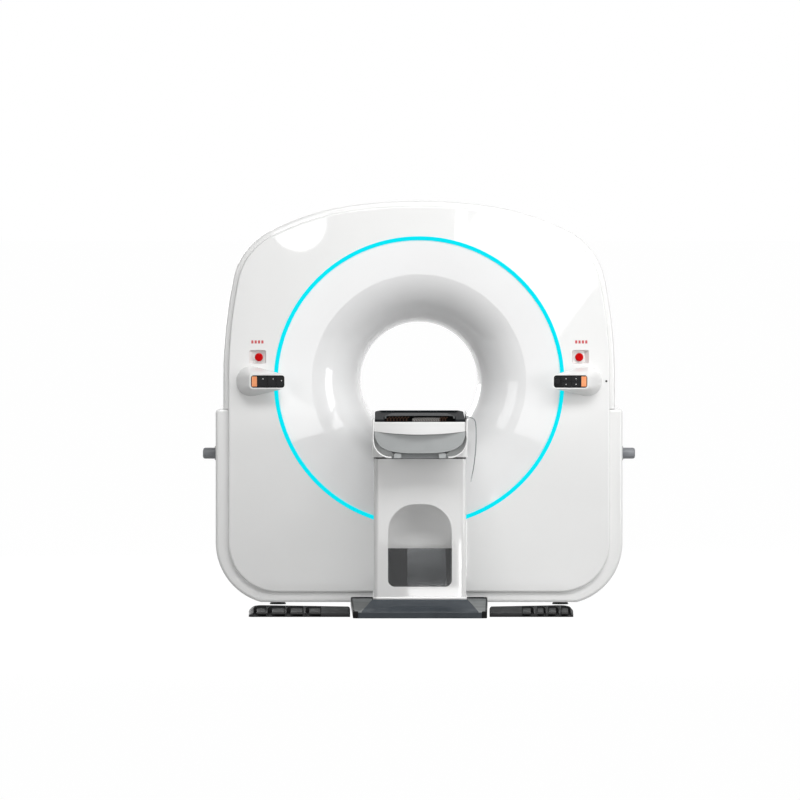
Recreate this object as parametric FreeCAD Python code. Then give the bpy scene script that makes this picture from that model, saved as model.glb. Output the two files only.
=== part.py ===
import FreeCAD, Part
import math
import os

# A computed-tomography scanner: an upright gantry with a round scan bore and a patient table in front of it.
# X runs to the right, Y runs from the table into the bore, Z is up. All sizes are millimetres.
# The origin lies on the floor, under the middle of the whole machine.

V = FreeCAD.Vector
X_AXIS, Y_AXIS, Z_AXIS = V(1, 0, 0), V(0, 1, 0), V(0, 0, 1)

# ---- layout -------------------------------------------------------------------------------------
TABLE_REACH = 1950.0      # near edge of the table's base to the gantry's front face
GANTRY_DEPTH = 950.0
ISO_Z = 1082.0            # height of the scan axis
NEAR_Y = -(TABLE_REACH + GANTRY_DEPTH) / 2
FRONT_Y = NEAR_Y + TABLE_REACH
REAR_Y = FRONT_Y + GANTRY_DEPTH

# ---- gantry outline, seen from the front ----------------------------------------------------------
TOP_Z = 1957.5
HALF_WIDTH = 949.0
CROWN_RADIUS, CROWN_DEGREES = 2407.0, 7.7
BROW_RADIUS, BROW_DEGREES = 1251.0, 19.4
SHOULDER_DEGREES = 51.3
FLANK_RADIUS = 2357.0
FLANK_DEGREES = 90.0 - CROWN_DEGREES - BROW_DEGREES - SHOULDER_DEGREES
LOWER_CORNER = 263.0
BODY_BOTTOM = 38.0
UNDERSIDE = 12.0          # the lower covers' flat underside, above the floor

# ---- gantry covers --------------------------------------------------------------------------------
SKIN = 6.0                # wall of the wrap-around covers
PANEL_INSET = 24.0        # front and rear panels stand inside the outline by this
PANEL_SKIN = 5.0
PANEL_DEPTH = 50.0
PANEL_EDGE = 10.0         # rounding of a panel's edge
PANEL_PROUD = 20.0        # a panel's face stands out in front of the wrap-around covers
COVER_EDGE = 14.0         # rounding of the wrap-around covers
BULGE = 37.0              # the lower side covers stand out past the upper one
SIDE_COVER_TOP = 949.0
SPLIT_GAP = 1.0           # half of the joint between the two lower covers

# ---- bore -----------------------------------------------------------------------------------------
BORE_RADIUS = 285.0
OPENING_MARGIN = 245.0
OPENING_RADIUS = HALF_WIDTH - OPENING_MARGIN      # hole in the front panel
RING_WIDTH = 19.0
RING_PROUD, RING_EDGE = 2.0, 1.4
RING_GAP = 3.0
FUNNEL_SKIN = 5.0
FUNNEL_SINK = 3.0         # the funnel's rim lies this far behind the panel's face
FUNNEL_DEGREES = 8.5      # slope of the dished face
FLARE_RADIUS = 275.0
FLANGE = 22.0             # overlap of the funnel's flange behind the panel
THROAT_START = 330.0      # depth where the front funnel hands over to the liner
THROAT_END = 620.0
REAR_OPENING_RADIUS = 560.0
REAR_FLARE_RADIUS = 190.0
WINDOW_WIDTH = 40.0
WINDOW_DEPTH, WINDOW_SINK = 3.0, 0.5

# ---- inner structure ------------------------------------------------------------------------------
BEAM = 90.0
BEAM_INSET = 264.0
BEAM_X = HALF_WIDTH - BEAM_INSET   # middle of a long base beam
BEAM_START = 60.0         # depth of the beams' front ends
BEAM_INSET_END = 60.0
FOOT_RADIUS, FOOT_TOP_RADIUS = 40.0, 30.0
FOOT_HOLE_CLEARANCE = 4.0
SEAT_RISE, SEAT_WIDTH = 4.0, 22.0         # raised seats round the foot holes carry the beams
FOOT_INSET = 45.0
PLATE_FRONT, PLATE_THICK = 640.0, 30.0
PLATE_RADIUS, PLATE_BORE = 640.0, 335.0
LEG_HALF_TOP, LEG_HALF_FOOT = 560.0, BEAM_X + BEAM / 2
GUSSET_LENGTH, GUSSET_HEIGHT, GUSSET_THICK = 190.0, 420.0, 20.0
BEARING_RADIUS, BEARING_BORE, BEARING_LENGTH = 430.0, 360.0, 48.0
BEARING_GAP = 0.3
GROOVE_DEPTH, GROOVE_START, GROOVE_WIDTH = 6.0, 14.0, 10.0       # lubrication groove round the outer race

# ---- rotor ----------------------------------------------------------------------------------------
ROTOR_RADIUS = 805.0
ROTOR_PLATE_FRONT, ROTOR_PLATE_THICK = 540.0, 25.0
ROTOR_RIM, ROTOR_RIM_FRONT = 14.0, 430.0
HUB_BORE = 312.0
RIB_COUNT, RIB_THICK, RIB_HEIGHT = 12, 12.0, 40.0
RIB_START, RIB_END = 15.0, 20.0           # rib ends, off the slip ring and off the drum's rim
HUB_END_GAP = 2.0
SLIP_INNER, SLIP_OUTER, SLIP_LENGTH = 470.0, 600.0, 46.0
SLIP_TRACKS, TRACK_WIDTH, TRACK_DEPTH = 4, 7.0, 3.0
SOURCE_RADIUS = 530.0     # focus to scan axis
TUBE_RADIUS, TUBE_LENGTH, TUBE_EDGE = 95.0, 220.0, 24.0
TUBE_FOOT_HALF, TUBE_FOOT_LENGTH, TUBE_FOOT_HEIGHT = 85.0, 132.0, 117.0
COLLIMATOR_WIDTH, COLLIMATOR_HEIGHT, COLLIMATOR_LENGTH = 190.0, 70.0, 120.0
COLLIMATOR_LAP = 30.0     # how far it reaches up into the tube's housing
DETECTOR_RADIUS, DETECTOR_THICK, DETECTOR_SPAN = 1060.0, 80.0, 52.0
DETECTOR_LENGTH = 150.0
MODULE_RADIUS = 590.0     # middle of the boxes around the rotor
COOLER_DEGREES, COOLER_SIZE, COOLER_EDGE = 45.0, (300.0, 190.0, 200.0), 14.0
FIN_COUNT, FIN_PITCH, FIN_THICK, FIN_HEIGHT, FIN_DEPTH = 7, 42.0, 6.0, 160.0, 22.0
GENERATOR_DEGREES, GENERATOR_SIZE, GENERATOR_EDGE = -52.0, (340.0, 210.0, 230.0), 16.0

# ---- controls on the gantry -----------------------------------------------------------------------
POD_INSET, POD_DROP = 216.0, -2.0
POD_X, POD_Z = HALF_WIDTH - POD_INSET, ISO_Z - POD_DROP
POD_FACE_WIDTH, POD_FACE_HEIGHT, POD_FACE_CORNER = 176.0, 72.0, 18.0
POD_ROOT_SHIFT, POD_ROOT_WIDTH, POD_ROOT_HEIGHT = 82.0, 142.0, 144.0
POD_ROOT_X = POD_X + POD_ROOT_SHIFT
POD_REACH = 88.0
POD_WAIST_DEPTH, POD_WAIST_SHARE = 48.0, 0.42        # the middle section, between root and face
POD_ROOT_ROUND, POD_WAIST_ROUND = 0.97, 0.8          # corner radii, as shares of the half size
PAD_WIDTH, PAD_HEIGHT, PAD_THICK, PAD_CORNER = 162.0, 60.0, 9.0, 13.0
PAD_PROUD = 1.0
KEY_HEIGHT, KEY_THICK, KEY_PROUD, KEY_TRAVEL = 49.0, 5.0, 1.6, 1.5
KEY_GAP = 0.6
KEY_CORNER, KEY_EDGE = 3.0, 0.8
KEY_SPACING, PAD_BORDER, KEY_FLOOR_GAP = 2.5, 4.0, 0.4
LEFT_KEYS, RIGHT_KEY_WIDTH = (46.0, 40.0, 34.0), 45.0
STEM_RADIUS, STEM_REACH = 3.0, 3.4       # guide pin behind each key
RUNNING_GAP = 0.05                       # between a pin and its hole
AMBER_WIDTH = 25.0
KNOB_RADIUS, KNOB_HEIGHT, KNOB_SPINDLE, KNOB_REACH = 12.0, 9.0, 6.0, 3.0
KNOB_BORDER, KNOB_EDGE, KNOB_STANDOFF = 6.0, 2.0, 0.5
FLUTE_COUNT, FLUTE_RADIUS, FLUTE_END = 12, 1.8, 1.5
STOP_INSET, STOP_RISE = 173.0, 118.0
STOP_X, STOP_Z = HALF_WIDTH - STOP_INSET, ISO_Z + STOP_RISE
STOP_RADIUS, STOP_STEM = 20.0, 13.0
STOP_HEAD, STOP_EDGE, STOP_STEM_REACH = 13.0, 7.0, 8.0
STOP_TRAVEL, STOP_GAP = 5.0, 1.0
NICHE_INWARD, NICHE_OUTWARD, NICHE_FLOOR_OUTWARD = 35.0, 47.0, 27.0     # reach from the stop button
NICHE_DOWN, NICHE_UP = 32.0, 35.0
NICHE_DRAFT, NICHE_DEPTH, NICHE_CORNER = 4.0, 22.0, 9.0
COLLAR_RADIUS, COLLAR_HEIGHT = 24.0, 4.0
SENSOR_INSET, SENSOR_RADIUS = 42.0, 5.0
SENSOR_X, SENSOR_Z = HALF_WIDTH - SENSOR_INSET, POD_Z
PEG_Z, PEG_DEPTH, PEG_RADIUS, PEG_LENGTH, PEG_END = 729.0, 250.0, 27.0, 64.0, 12.0
PEG_COLLAR, PEG_COLLAR_THICK = 34.0, 6.0

# ---- rear face ------------------------------------------------------------------------------------
VENT_COUNT, VENT_WIDTH, VENT_HEIGHT, VENT_PITCH, VENT_CORNER = 9, 160.0, 9.0, 24.0, 4.0
VENT_X, VENT_Z = 640.0, 330.0

# ---- table ----------------------------------------------------------------------------------------
BASE_GAP = 18.0           # between the base plate's far edge and the gantry
BASE_NEAR_HALF, BASE_FAR_HALF = 317.0, 332.0
BASE_THICK, BASE_CORNER, BASE_EDGE = 32.0, 35.0, 4.0
PLATFORM_TOP, PLATFORM_MARGIN = 85.0, 8.0
PLINTH_TOP = 118.0
LINK_HALF, LINK_LENGTH, LINK_THICK = 120.0, 150.0, 11.0
COLUMN_HALF = 218.5
COLUMN_FRONT, COLUMN_DEPTH = 130.0, 1000.0      # behind the near edge
COLUMN_SKIN, COLUMN_CORNER = 7.0, 22.0
COLUMN_BOTTOM, COLUMN_TOP = 95.0, 752.0
ARCH_HALF, ARCH_TOP, ARCH_BOTTOM = 151.5, 538.0, 146.0
ARCH_CORNER, ARCH_SHOULDER, ARCH_DEPTH, ARCH_SKIN = 33.0, 132.0, 105.0, 5.0
POCKET_TOP, POCKET_THICK, POCKET_SETBACK = 328.0, 4.0, 8.0

# ---- couch ----------------------------------------------------------------------------------------
COUCH_START, COUCH_END_GAP = 20.0, 30.0
COUCH_HALF, COUCH_SKIN = 226.0, 5.0
COUCH_BOTTOM, COUCH_RIM, COUCH_CORNER = 757.0, 944.0, 85.0
COUCH_SLOT_HALF, COUCH_SLOT_LENGTH = 134.0, 150.0
SKIRT_BOTTOM, SKIRT_SKIN, SKIRT_GAP = 760.0, 4.0, 3.5
SLEEVE_GAP, SLEEVE_SKIN, SLEEVE_BOTTOM, SLEEVE_HEAD = 3.0, 4.0, 610.0, 12.0
HULL_HALF, HULL_BOTTOM, HULL_TOP = 210.0, 781.0, 866.0
HULL_BELLY, HULL_CORNER = 600.0, 40.0
HULL_SETBACK = 25.0
FASCIA_STEP, FASCIA_DEPTH, FASCIA_GAP = 4.0, 60.0, 1.0     # moulded end of the hull, inside the couch shell
NOTCH = [(-160.0, 804.0), (-110.0, 787.0), (-120.0, 775.0)]
NOTCH_DEPTH = 40.0
LEDGE_THICK, INSERT_LAP = 12.0, 10.0
INSERT_CHAMFER = 22.0
BRACKET_INNER, BRACKET_OUTER, BRACKET_TOP = 86.0, 121.0, 783.0
BRACKET_PROUD, BRACKET_CORNER = 6.0, 8.0
CRADLE_START, CRADLE_LENGTH = 45.0, 1985.0
CRADLE_HALF, CRADLE_FLAT = 214.0, 150.0
CRADLE_BOTTOM, CRADLE_EDGE, CRADLE_TOP = 880.0, 912.0, 941.0
CRADLE_TAPER, CRADLE_TAPER_LENGTH = 26.0, 260.0
CRADLE_BILGE, CRADLE_KNUCKLE, CRADLE_RIM_EDGE = 60.0, 12.0, 6.0      # roundings of the tray's section
CRADLE_WAIST, CRADLE_END_CORNER = 300.0, 40.0                        # roundings of the tray's plan
RUNNER_X, RUNNER_WIDTH, RUNNER_SETBACK = 95.0, 24.0, 40.0
DISH_HALF, DISH_LENGTH, DISH_DEPTH = 172.0, 1450.0, 14.0
DISH_FAR_HALF, DISH_NECK, DISH_CORNER = 138.0, 620.0, 60.0   # the recess narrows over its far stretch
DISH_START, DISH_NEAR_CORNER, DISH_BEND = 70.0, 12.0, 2500.0
TROUGH_HALF, TROUGH_DEPTH, TROUGH_SLOPE, TROUGH_CORNER, TROUGH_END = 196.0, 7.0, 14.0, 20.0, 40.0
MAT_THICK, MAT_GAP = 11.0, 2.0
CAP_HALF, CAP_TOP, CAP_ENDS, CAP_MIDDLE = 216.0, 929.0, 885.0, 870.0
CAP_LENGTH, CAP_BOW, CAP_LIP = 45.0, 22.0, 4.0
SLIDE_GAP = 0.3

# ---- patient lead ---------------------------------------------------------------------------------
LEAD_DIAMETER, LEAD_DEPTH = 5.0, 70.0
GLAND_WIDTH, GLAND_HEIGHT, GLAND_DEPTH, GLAND_CORNER = 10.0, 14.0, 16.0, 2.5
LEAD_EXIT = 951.0
LEAD_PATH = [(249.0, 948.5), (259.5, 938.0), (264.0, 922.0), (266.0, 893.0),
             (266.5, 848.0), (264.5, 800.0), (259.0, 748.0), (253.0, 706.0), (248.5, 682.0)]
LEAD_BEND_SHARE = 0.45    # how much of a run each bend may take
PLUG_RADIUS, PLUG_LENGTH, PLUG_TIP_RADIUS, PLUG_TIP = 3.6, 38.0, 2.2, 15.0

# ---- foot switches --------------------------------------------------------------------------------
PEDAL_SETBACK, PEDAL_DEPTH = 200.0, 140.0
PEDAL_BASE_GAP = 14.0
PEDAL_NOSE, PEDAL_BACK = 16.0, 44.0
PEDAL_NOSE_EDGE, PEDAL_BACK_EDGE, PEDAL_INNER_CORNER = 5.0, 8.0, 8.0
PEDAL_SHELF = 14.0                                        # flat along the back edge
WELL_NOSE, WELL_BACK = 8.0, 22.0                          # heights of the wells' sloping floor
PAD_SETBACK, PAD_BACK_GAP = 3.0, 2.0                      # off the housing's nose and the well's end
PAD_LOW, PAD_NOSE, PAD_KNEE, PAD_KNEE_RUN = 14.5, 21.0, 23.0, 5.0
PAD_BACK_LOW, PAD_BACK_TOP, PAD_EDGE, PAD_BACK_EDGE = 30.5, 39.5, 2.0, 3.0
TONGUE_LAP, TONGUE_REACH, TONGUE_START, TONGUE_END, TONGUE_THICK = 6.0, 12.0, 50.0, 10.0, 7.0
LEFT_UNIT, RIGHT_UNIT = 481.0, 397.0            # lengths of the two housings
LEFT_PADS = [(471.0, 542.0), (556.0, 632.0), (641.0, 722.0), (731.0, 788.0)]
RIGHT_PADS = [(487.0, 539.0), (559.0, 596.0), (610.0, 657.0), (672.0, 714.0)]
PEDAL_SIDE_GAP = 1.5
PIVOT_SETBACK, PIVOT_Z, PIVOT_RADIUS, PIVOT_SEAT = 22.0, 34.5, 3.0, 3.0
PEDAL_END_ROUND = 30.0


# ---- small tools ----------------------------------------------------------------------------------
def save(name, shape):
    """Write one piece."""
    solids = shape.Solids
    if len(solids) != 1 or not shape.isValid():
        print("CHECK", name, "solids:", len(solids), "valid:", shape.isValid())
    solids[0].exportStep(os.path.join("parts", name + ".step"))


def facing(y):
    """Placer for a flat outline that faces along Y at depth y."""
    return lambda u, v: V(u, y, v)


def lying(z):
    """Placer for a flat outline that lies level at height z."""
    return lambda u, v: V(u, v, z)


def sideways(x):
    """Placer for a flat outline of (y, z) that faces along X."""
    return lambda u, v: V(x, u, v)


def box(x0, x1, y0, y1, z0, z1):
    return Part.makeBox(x1 - x0, y1 - y0, z1 - z0, V(x0, y0, z0))


def rounded(corners, radii, place):
    """A closed wire through flat corners, each rounded by a tangent arc."""
    bends = []
    for i, (u, v) in enumerate(corners):
        here = V(u, v, 0)
        back = V(*corners[i - 1], 0) - here
        ahead = V(*corners[(i + 1) % len(corners)], 0) - here
        back.normalize()
        ahead.normalize()
        half = back.getAngle(ahead) / 2
        inward = back + ahead
        inward.normalize()
        radius = radii[i]
        run = radius / math.tan(half)
        centre = here + inward * (radius / math.sin(half))
        bends.append((here + back * run, centre - inward * radius, here + ahead * run, radius))
    edges = []
    for i, (start, middle, end, radius) in enumerate(bends):
        last = bends[i - 1][2]
        if (start - last).Length > 1e-6:
            edges.append(Part.LineSegment(place(last.x, last.y), place(start.x, start.y)).toShape())
        if radius > 0:
            arc = [place(p.x, p.y) for p in (start, middle, end)]
            edges.append(Part.Arc(*arc).toShape())
    return Part.Wire(edges)


def rectangle(u0, u1, v0, v1, radius, place):
    return rounded([(u0, v0), (u1, v0), (u1, v1), (u0, v1)], [radius] * 4, place)


def prism(wire, along):
    return Part.Face(wire).extrude(along)


def edges_at(shape, test):
    """The edges whose whole bounding box passes the test."""
    return [e for e in shape.Edges if test(e.BoundBox)]


def around_axis(points, arcs=()):
    """Revolve a closed profile of (radius, depth) about the scan axis.

    arcs maps the index of a stretch's first point to the middle point of its arc.
    """
    middles = dict(arcs)

    def place(r, d):
        return V(r, FRONT_Y + d, ISO_Z)

    edges = []
    for i, point in enumerate(points):
        start, end = place(*point), place(*points[(i + 1) % len(points)])
        if i in middles:
            edges.append(Part.Arc(start, place(*middles[i]), end).toShape())
        else:
            edges.append(Part.LineSegment(start, end).toShape())
    return Part.Face(Part.Wire(edges)).revolve(V(0, 0, ISO_Z), Y_AXIS, 360)


def ring(inner, outer, d0, d1):
    """A plain ring about the scan axis between two depths."""
    return around_axis([(inner, d0), (outer, d0), (outer, d1), (inner, d1)])


def disc(radius, d0, d1):
    return Part.makeCylinder(radius, d1 - d0, V(0, FRONT_Y + d0, ISO_Z), Y_AXIS)


def stud(radius, x, z, d0, d1):
    """A round pin along Y on the gantry's front."""
    return Part.makeCylinder(radius, d1 - d0, V(x, FRONT_Y + d0, z), Y_AXIS)


# ---- gantry outline -------------------------------------------------------------------------------
def crown_arcs():
    """Radius and turn of each arc from the top of the dome to the widest point."""
    crown = math.sin(math.radians(CROWN_DEGREES))
    brow = math.sin(math.radians(CROWN_DEGREES + BROW_DEGREES))
    flank = math.cos(math.radians(FLANK_DEGREES))
    reach = CROWN_RADIUS * crown + BROW_RADIUS * (brow - crown) + FLANK_RADIUS * (1 - flank)
    shoulder = (HALF_WIDTH - reach) / (flank - brow)
    return [(CROWN_RADIUS, CROWN_DEGREES), (BROW_RADIUS, BROW_DEGREES),
            (shoulder, SHOULDER_DEGREES), (FLANK_RADIUS, FLANK_DEGREES)]


def outline(inset, y):
    """The gantry's outline, drawn in by inset, as a wire at depth y."""
    half = []
    x, z, angle = 0.0, TOP_Z, 0.0
    for radius, degrees in crown_arcs():
        turn = math.radians(degrees)
        cx, cz = x - radius * math.sin(angle), z - radius * math.cos(angle)
        steps = [angle, angle + turn / 2, angle + turn]
        reach = radius - inset
        half.append([(cx + reach * math.sin(a), cz + reach * math.cos(a)) for a in steps])
        angle += turn
        x, z = cx + radius * math.sin(angle), cz + radius * math.cos(angle)
    cx, cz = HALF_WIDTH - LOWER_CORNER, BODY_BOTTOM + LOWER_CORNER
    corner = LOWER_CORNER - inset
    diagonal = corner * math.sqrt(0.5)
    side_end = (cx + corner, cz)
    half.append([half[-1][-1], side_end])
    half.append([side_end, (cx + diagonal, cz - diagonal), (cx, cz - corner)])
    mirrored = [[(-u, v) for u, v in reversed(piece)] for piece in reversed(half)]
    bottom = [(cx, cz - corner), (-cx, cz - corner)]
    edges = []
    for piece in half + [bottom] + mirrored:
        points = [V(u, y, v) for u, v in piece]
        curve = Part.Arc if len(points) == 3 else Part.LineSegment
        edges.append(curve(*points).toShape())
    return Part.Wire(edges)


def body_prism(inset, d0, d1):
    """The gantry's outline as a block between two depths."""
    return prism(outline(inset, FRONT_Y + d0), V(0, d1 - d0, 0))


# ---- gantry covers --------------------------------------------------------------------------------
WRAP_START, WRAP_END = PANEL_PROUD, GANTRY_DEPTH - PANEL_PROUD
BIG = 3000.0


def above(z):
    return box(-BIG, BIG, -BIG, BIG, z, z + BIG)


def wrap_hollow(inset):
    """What is taken out of a wrap-around cover: its inside and the windows for the two panels."""
    hollow = body_prism(inset + SKIN, WRAP_START + SKIN, WRAP_END - SKIN)
    return hollow, body_prism(PANEL_INSET, 0, GANTRY_DEPTH)


def top_cover():
    body = body_prism(0, WRAP_START, WRAP_END)
    ends = (FRONT_Y + WRAP_START, FRONT_Y + WRAP_END)
    rim = edges_at(body, lambda b: b.YLength < 0.01 and min(abs(b.YMin - e) for e in ends) < 0.01)
    body = body.makeFillet(COVER_EDGE, rim)
    for tool in wrap_hollow(0):
        body = body.cut(tool)
    return body.common(above(SIDE_COVER_TOP))


BEAM_BOTTOM = UNDERSIDE + SKIN + SEAT_RISE


def foot_places():
    first = FRONT_Y + BEAM_START + FOOT_INSET
    last = REAR_Y - BEAM_INSET_END - FOOT_INSET
    return [(x, y) for x in (-BEAM_X, BEAM_X) for y in (first, last)]


def side_covers():
    """The two lower covers, left and right, that bulge past the upper one and close the bottom."""
    body = body_prism(-BULGE, WRAP_START, WRAP_END).cut(above(SIDE_COVER_TOP)).common(above(UNDERSIDE))
    body = body.makeFillet(COVER_EDGE, body.Edges)
    hollow, windows = wrap_hollow(-BULGE)
    hollow = hollow.cut(above(SIDE_COVER_TOP - SKIN)).common(above(UNDERSIDE + SKIN))
    body = body.cut(hollow).cut(windows)
    outside = body_prism(-BULGE, WRAP_START, WRAP_END)
    hole_radius = FOOT_RADIUS + FOOT_HOLE_CLEARANCE
    for x, y in foot_places():
        seat = Part.makeCylinder(hole_radius + SEAT_WIDTH, SEAT_RISE + SKIN, V(x, y, UNDERSIDE), Z_AXIS)
        hole = Part.makeCylinder(hole_radius, BEAM_BOTTOM, V(x, y, 0), Z_AXIS)
        body = body.fuse(seat.common(outside)).cut(hole)
    right = body.common(box(SPLIT_GAP, BIG, -BIG, BIG, -BIG, BIG))
    left = body.common(box(-BIG, -SPLIT_GAP, -BIG, BIG, -BIG, BIG))
    return left, right


def panel(d0, d1, face_depth):
    """A raised end panel as an open tray; face_depth says which of its two ends is the face."""
    body = body_prism(PANEL_INSET, d0, d1)
    y = FRONT_Y + face_depth
    rim = edges_at(body, lambda b: b.YLength < 0.01 and abs(b.YMin - y) < 0.01)
    body = body.makeFillet(PANEL_EDGE, rim)
    inner = (d0 + PANEL_SKIN, d1 + 1) if face_depth == d0 else (d0 - 1, d1 - PANEL_SKIN)
    return body.cut(body_prism(PANEL_INSET + PANEL_SKIN, *inner))


def niche_block(side, grow):
    """The drafted recess behind a stop button; grow gives the tub around it."""
    rims = []
    ends = ((0.0, NICHE_OUTWARD, 0.0), (NICHE_DEPTH + grow, NICHE_FLOOR_OUTWARD, NICHE_DRAFT))
    for depth, outward, draft in ends:
        u = sorted((side * (STOP_X - NICHE_INWARD + draft - grow), side * (STOP_X + outward + grow)))
        low, high = STOP_Z - NICHE_DOWN + draft - grow, STOP_Z + NICHE_UP - draft + grow
        rims.append(rectangle(u[0], u[1], low, high, NICHE_CORNER + grow, facing(FRONT_Y + depth)))
    return Part.makeLoft(rims, True, True)


def front_cover():
    body = panel(0.0, PANEL_DEPTH, 0.0)
    body = body.cut(disc(OPENING_RADIUS, -1, PANEL_DEPTH))
    for side in (-1, 1):
        body = body.fuse(niche_block(side, PANEL_SKIN))
        body = body.cut(niche_block(side, 0.0))
        x = side * STOP_X
        body = body.fuse(stud(COLLAR_RADIUS, x, STOP_Z, NICHE_DEPTH - COLLAR_HEIGHT, NICHE_DEPTH + 1))
        body = body.cut(stud(STOP_STEM + RUNNING_GAP, x, STOP_Z, 0, PANEL_DEPTH))
    return body.cut(stud(SENSOR_RADIUS, SENSOR_X, SENSOR_Z, -1, PANEL_SKIN + 1))


def rear_cover():
    body = panel(GANTRY_DEPTH - PANEL_DEPTH, GANTRY_DEPTH, GANTRY_DEPTH)
    body = body.cut(disc(REAR_OPENING_RADIUS, GANTRY_DEPTH - PANEL_DEPTH, GANTRY_DEPTH + 1))
    for side in (-1, 1):
        for i in range(VENT_COUNT):
            z = VENT_Z + i * VENT_PITCH
            x = side * VENT_X
            slot = rectangle(x - VENT_WIDTH / 2, x + VENT_WIDTH / 2, z, z + VENT_HEIGHT,
                             VENT_CORNER, facing(REAR_Y - PANEL_SKIN - 1))
            body = body.cut(prism(slot, V(0, PANEL_SKIN + 2, 0)))
    return body


# ---- bore -----------------------------------------------------------------------------------------
def funnel(mouth, flare, depth_of, throat):
    """A bell-mouthed funnel: a dished face, a round flare and a straight throat.

    depth_of turns a distance behind the mouth's panel face into a gantry depth, so both ends share this.
    """
    slope = math.radians(FUNNEL_DEGREES)
    turn = math.pi / 2 - slope
    corner = FUNNEL_SINK + (mouth - BORE_RADIUS) * math.tan(slope)
    run = flare * math.tan(turn / 2)
    centre = (BORE_RADIUS + flare, corner + run)
    shift = FUNNEL_SKIN / math.cos(slope)

    def on_flare(radius, angle):
        return centre[0] - radius * math.cos(angle), centre[1] - radius * math.sin(angle)

    back = flare - FUNNEL_SKIN
    seat = PANEL_SKIN + FUNNEL_SKIN
    back_rim = mouth - (seat - FUNNEL_SINK - shift) / math.tan(slope)
    profile = [(mouth, FUNNEL_SINK), on_flare(flare, turn), on_flare(flare, 0), (BORE_RADIUS, throat),
               (BORE_RADIUS + FUNNEL_SKIN, throat), on_flare(back, 0), on_flare(back, turn),
               (back_rim, seat), (mouth + FLANGE + RING_WIDTH + RING_GAP, seat),
               (mouth + FLANGE + RING_WIDTH + RING_GAP, PANEL_SKIN), (mouth, PANEL_SKIN)]
    middles = {1: on_flare(flare, turn / 2), 5: on_flare(back, turn / 2)}
    points = [(r, depth_of(d)) for r, d in profile]
    return around_axis(points, {k: (r, depth_of(d)) for k, (r, d) in middles.items()})


def front_funnel():
    return funnel(OPENING_RADIUS - RING_WIDTH - RING_GAP, FLARE_RADIUS, lambda d: d, THROAT_START)


def rear_funnel():
    mouth = REAR_OPENING_RADIUS - RING_WIDTH - RING_GAP
    return funnel(mouth, REAR_FLARE_RADIUS, lambda d: GANTRY_DEPTH - d, GANTRY_DEPTH - THROAT_END)


def light_ring():
    body = ring(OPENING_RADIUS - RING_WIDTH, OPENING_RADIUS, -RING_PROUD, PANEL_SKIN)
    front = edges_at(body, lambda b: b.YLength < 0.01 and b.YMax < FRONT_Y - RING_PROUD / 2)
    return body.makeFillet(RING_EDGE, front)


def window_span():
    middle = (THROAT_START + THROAT_END) / 2
    return middle - WINDOW_WIDTH / 2, middle + WINDOW_WIDTH / 2


def bore_liner():
    tube = ring(BORE_RADIUS, BORE_RADIUS + FUNNEL_SKIN, THROAT_START, THROAT_END)
    return tube.cut(ring(BORE_RADIUS - 1, BORE_RADIUS + WINDOW_DEPTH, *window_span()))


def scan_window():
    return ring(BORE_RADIUS + WINDOW_SINK, BORE_RADIUS + WINDOW_DEPTH, *window_span())


# ---- inner structure ------------------------------------------------------------------------------
def gantry_frame():
    """Welded base beams on four feet, and the upright plate that carries the bearing."""
    y0, y1 = FRONT_Y + BEAM_START, REAR_Y - BEAM_INSET_END
    top = BEAM_BOTTOM + BEAM
    frame = box(-BEAM_X, BEAM_X, y0, y0 + BEAM, BEAM_BOTTOM, top)
    pieces = [box(-BEAM_X, BEAM_X, y1 - BEAM, y1, BEAM_BOTTOM, top)]
    for x in (-BEAM_X, BEAM_X):
        pieces.append(box(x - BEAM / 2, x + BEAM / 2, y0, y1, BEAM_BOTTOM, top))
    for x, y in foot_places():
        pieces.append(Part.makeCone(FOOT_RADIUS, FOOT_TOP_RADIUS, BEAM_BOTTOM, V(x, y, 0), Z_AXIS))
    y = FRONT_Y + PLATE_FRONT
    legs = rounded([(-LEG_HALF_FOOT, BEAM_BOTTOM), (LEG_HALF_FOOT, BEAM_BOTTOM),
                    (LEG_HALF_TOP, ISO_Z), (-LEG_HALF_TOP, ISO_Z)], [0, 0, 0, 0], facing(y))
    pieces.append(prism(legs, V(0, PLATE_THICK, 0)))
    pieces.append(disc(PLATE_RADIUS, PLATE_FRONT, PLATE_FRONT + PLATE_THICK))
    for x in (-BEAM_X, BEAM_X):
        for start, way in ((y, -1), (y + PLATE_THICK, 1)):
            web = Part.makePolygon([V(x - GUSSET_THICK / 2, start, top),
                                    V(x - GUSSET_THICK / 2, start + way * GUSSET_LENGTH, top),
                                    V(x - GUSSET_THICK / 2, start, top + GUSSET_HEIGHT),
                                    V(x - GUSSET_THICK / 2, start, top)])
            pieces.append(prism(web, V(GUSSET_THICK, 0, 0)))
    frame = frame.multiFuse(pieces).removeSplitter()
    return frame.cut(disc(PLATE_BORE, 0, GANTRY_DEPTH))


def main_bearing():
    start = PLATE_FRONT - BEARING_LENGTH
    body = ring(BEARING_BORE, BEARING_RADIUS, start, PLATE_FRONT)
    edge = start + GROOVE_START
    groove = ring(BEARING_RADIUS - GROOVE_DEPTH, BEARING_RADIUS + 1, edge, edge + GROOVE_WIDTH)
    return body.cut(groove)


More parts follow.
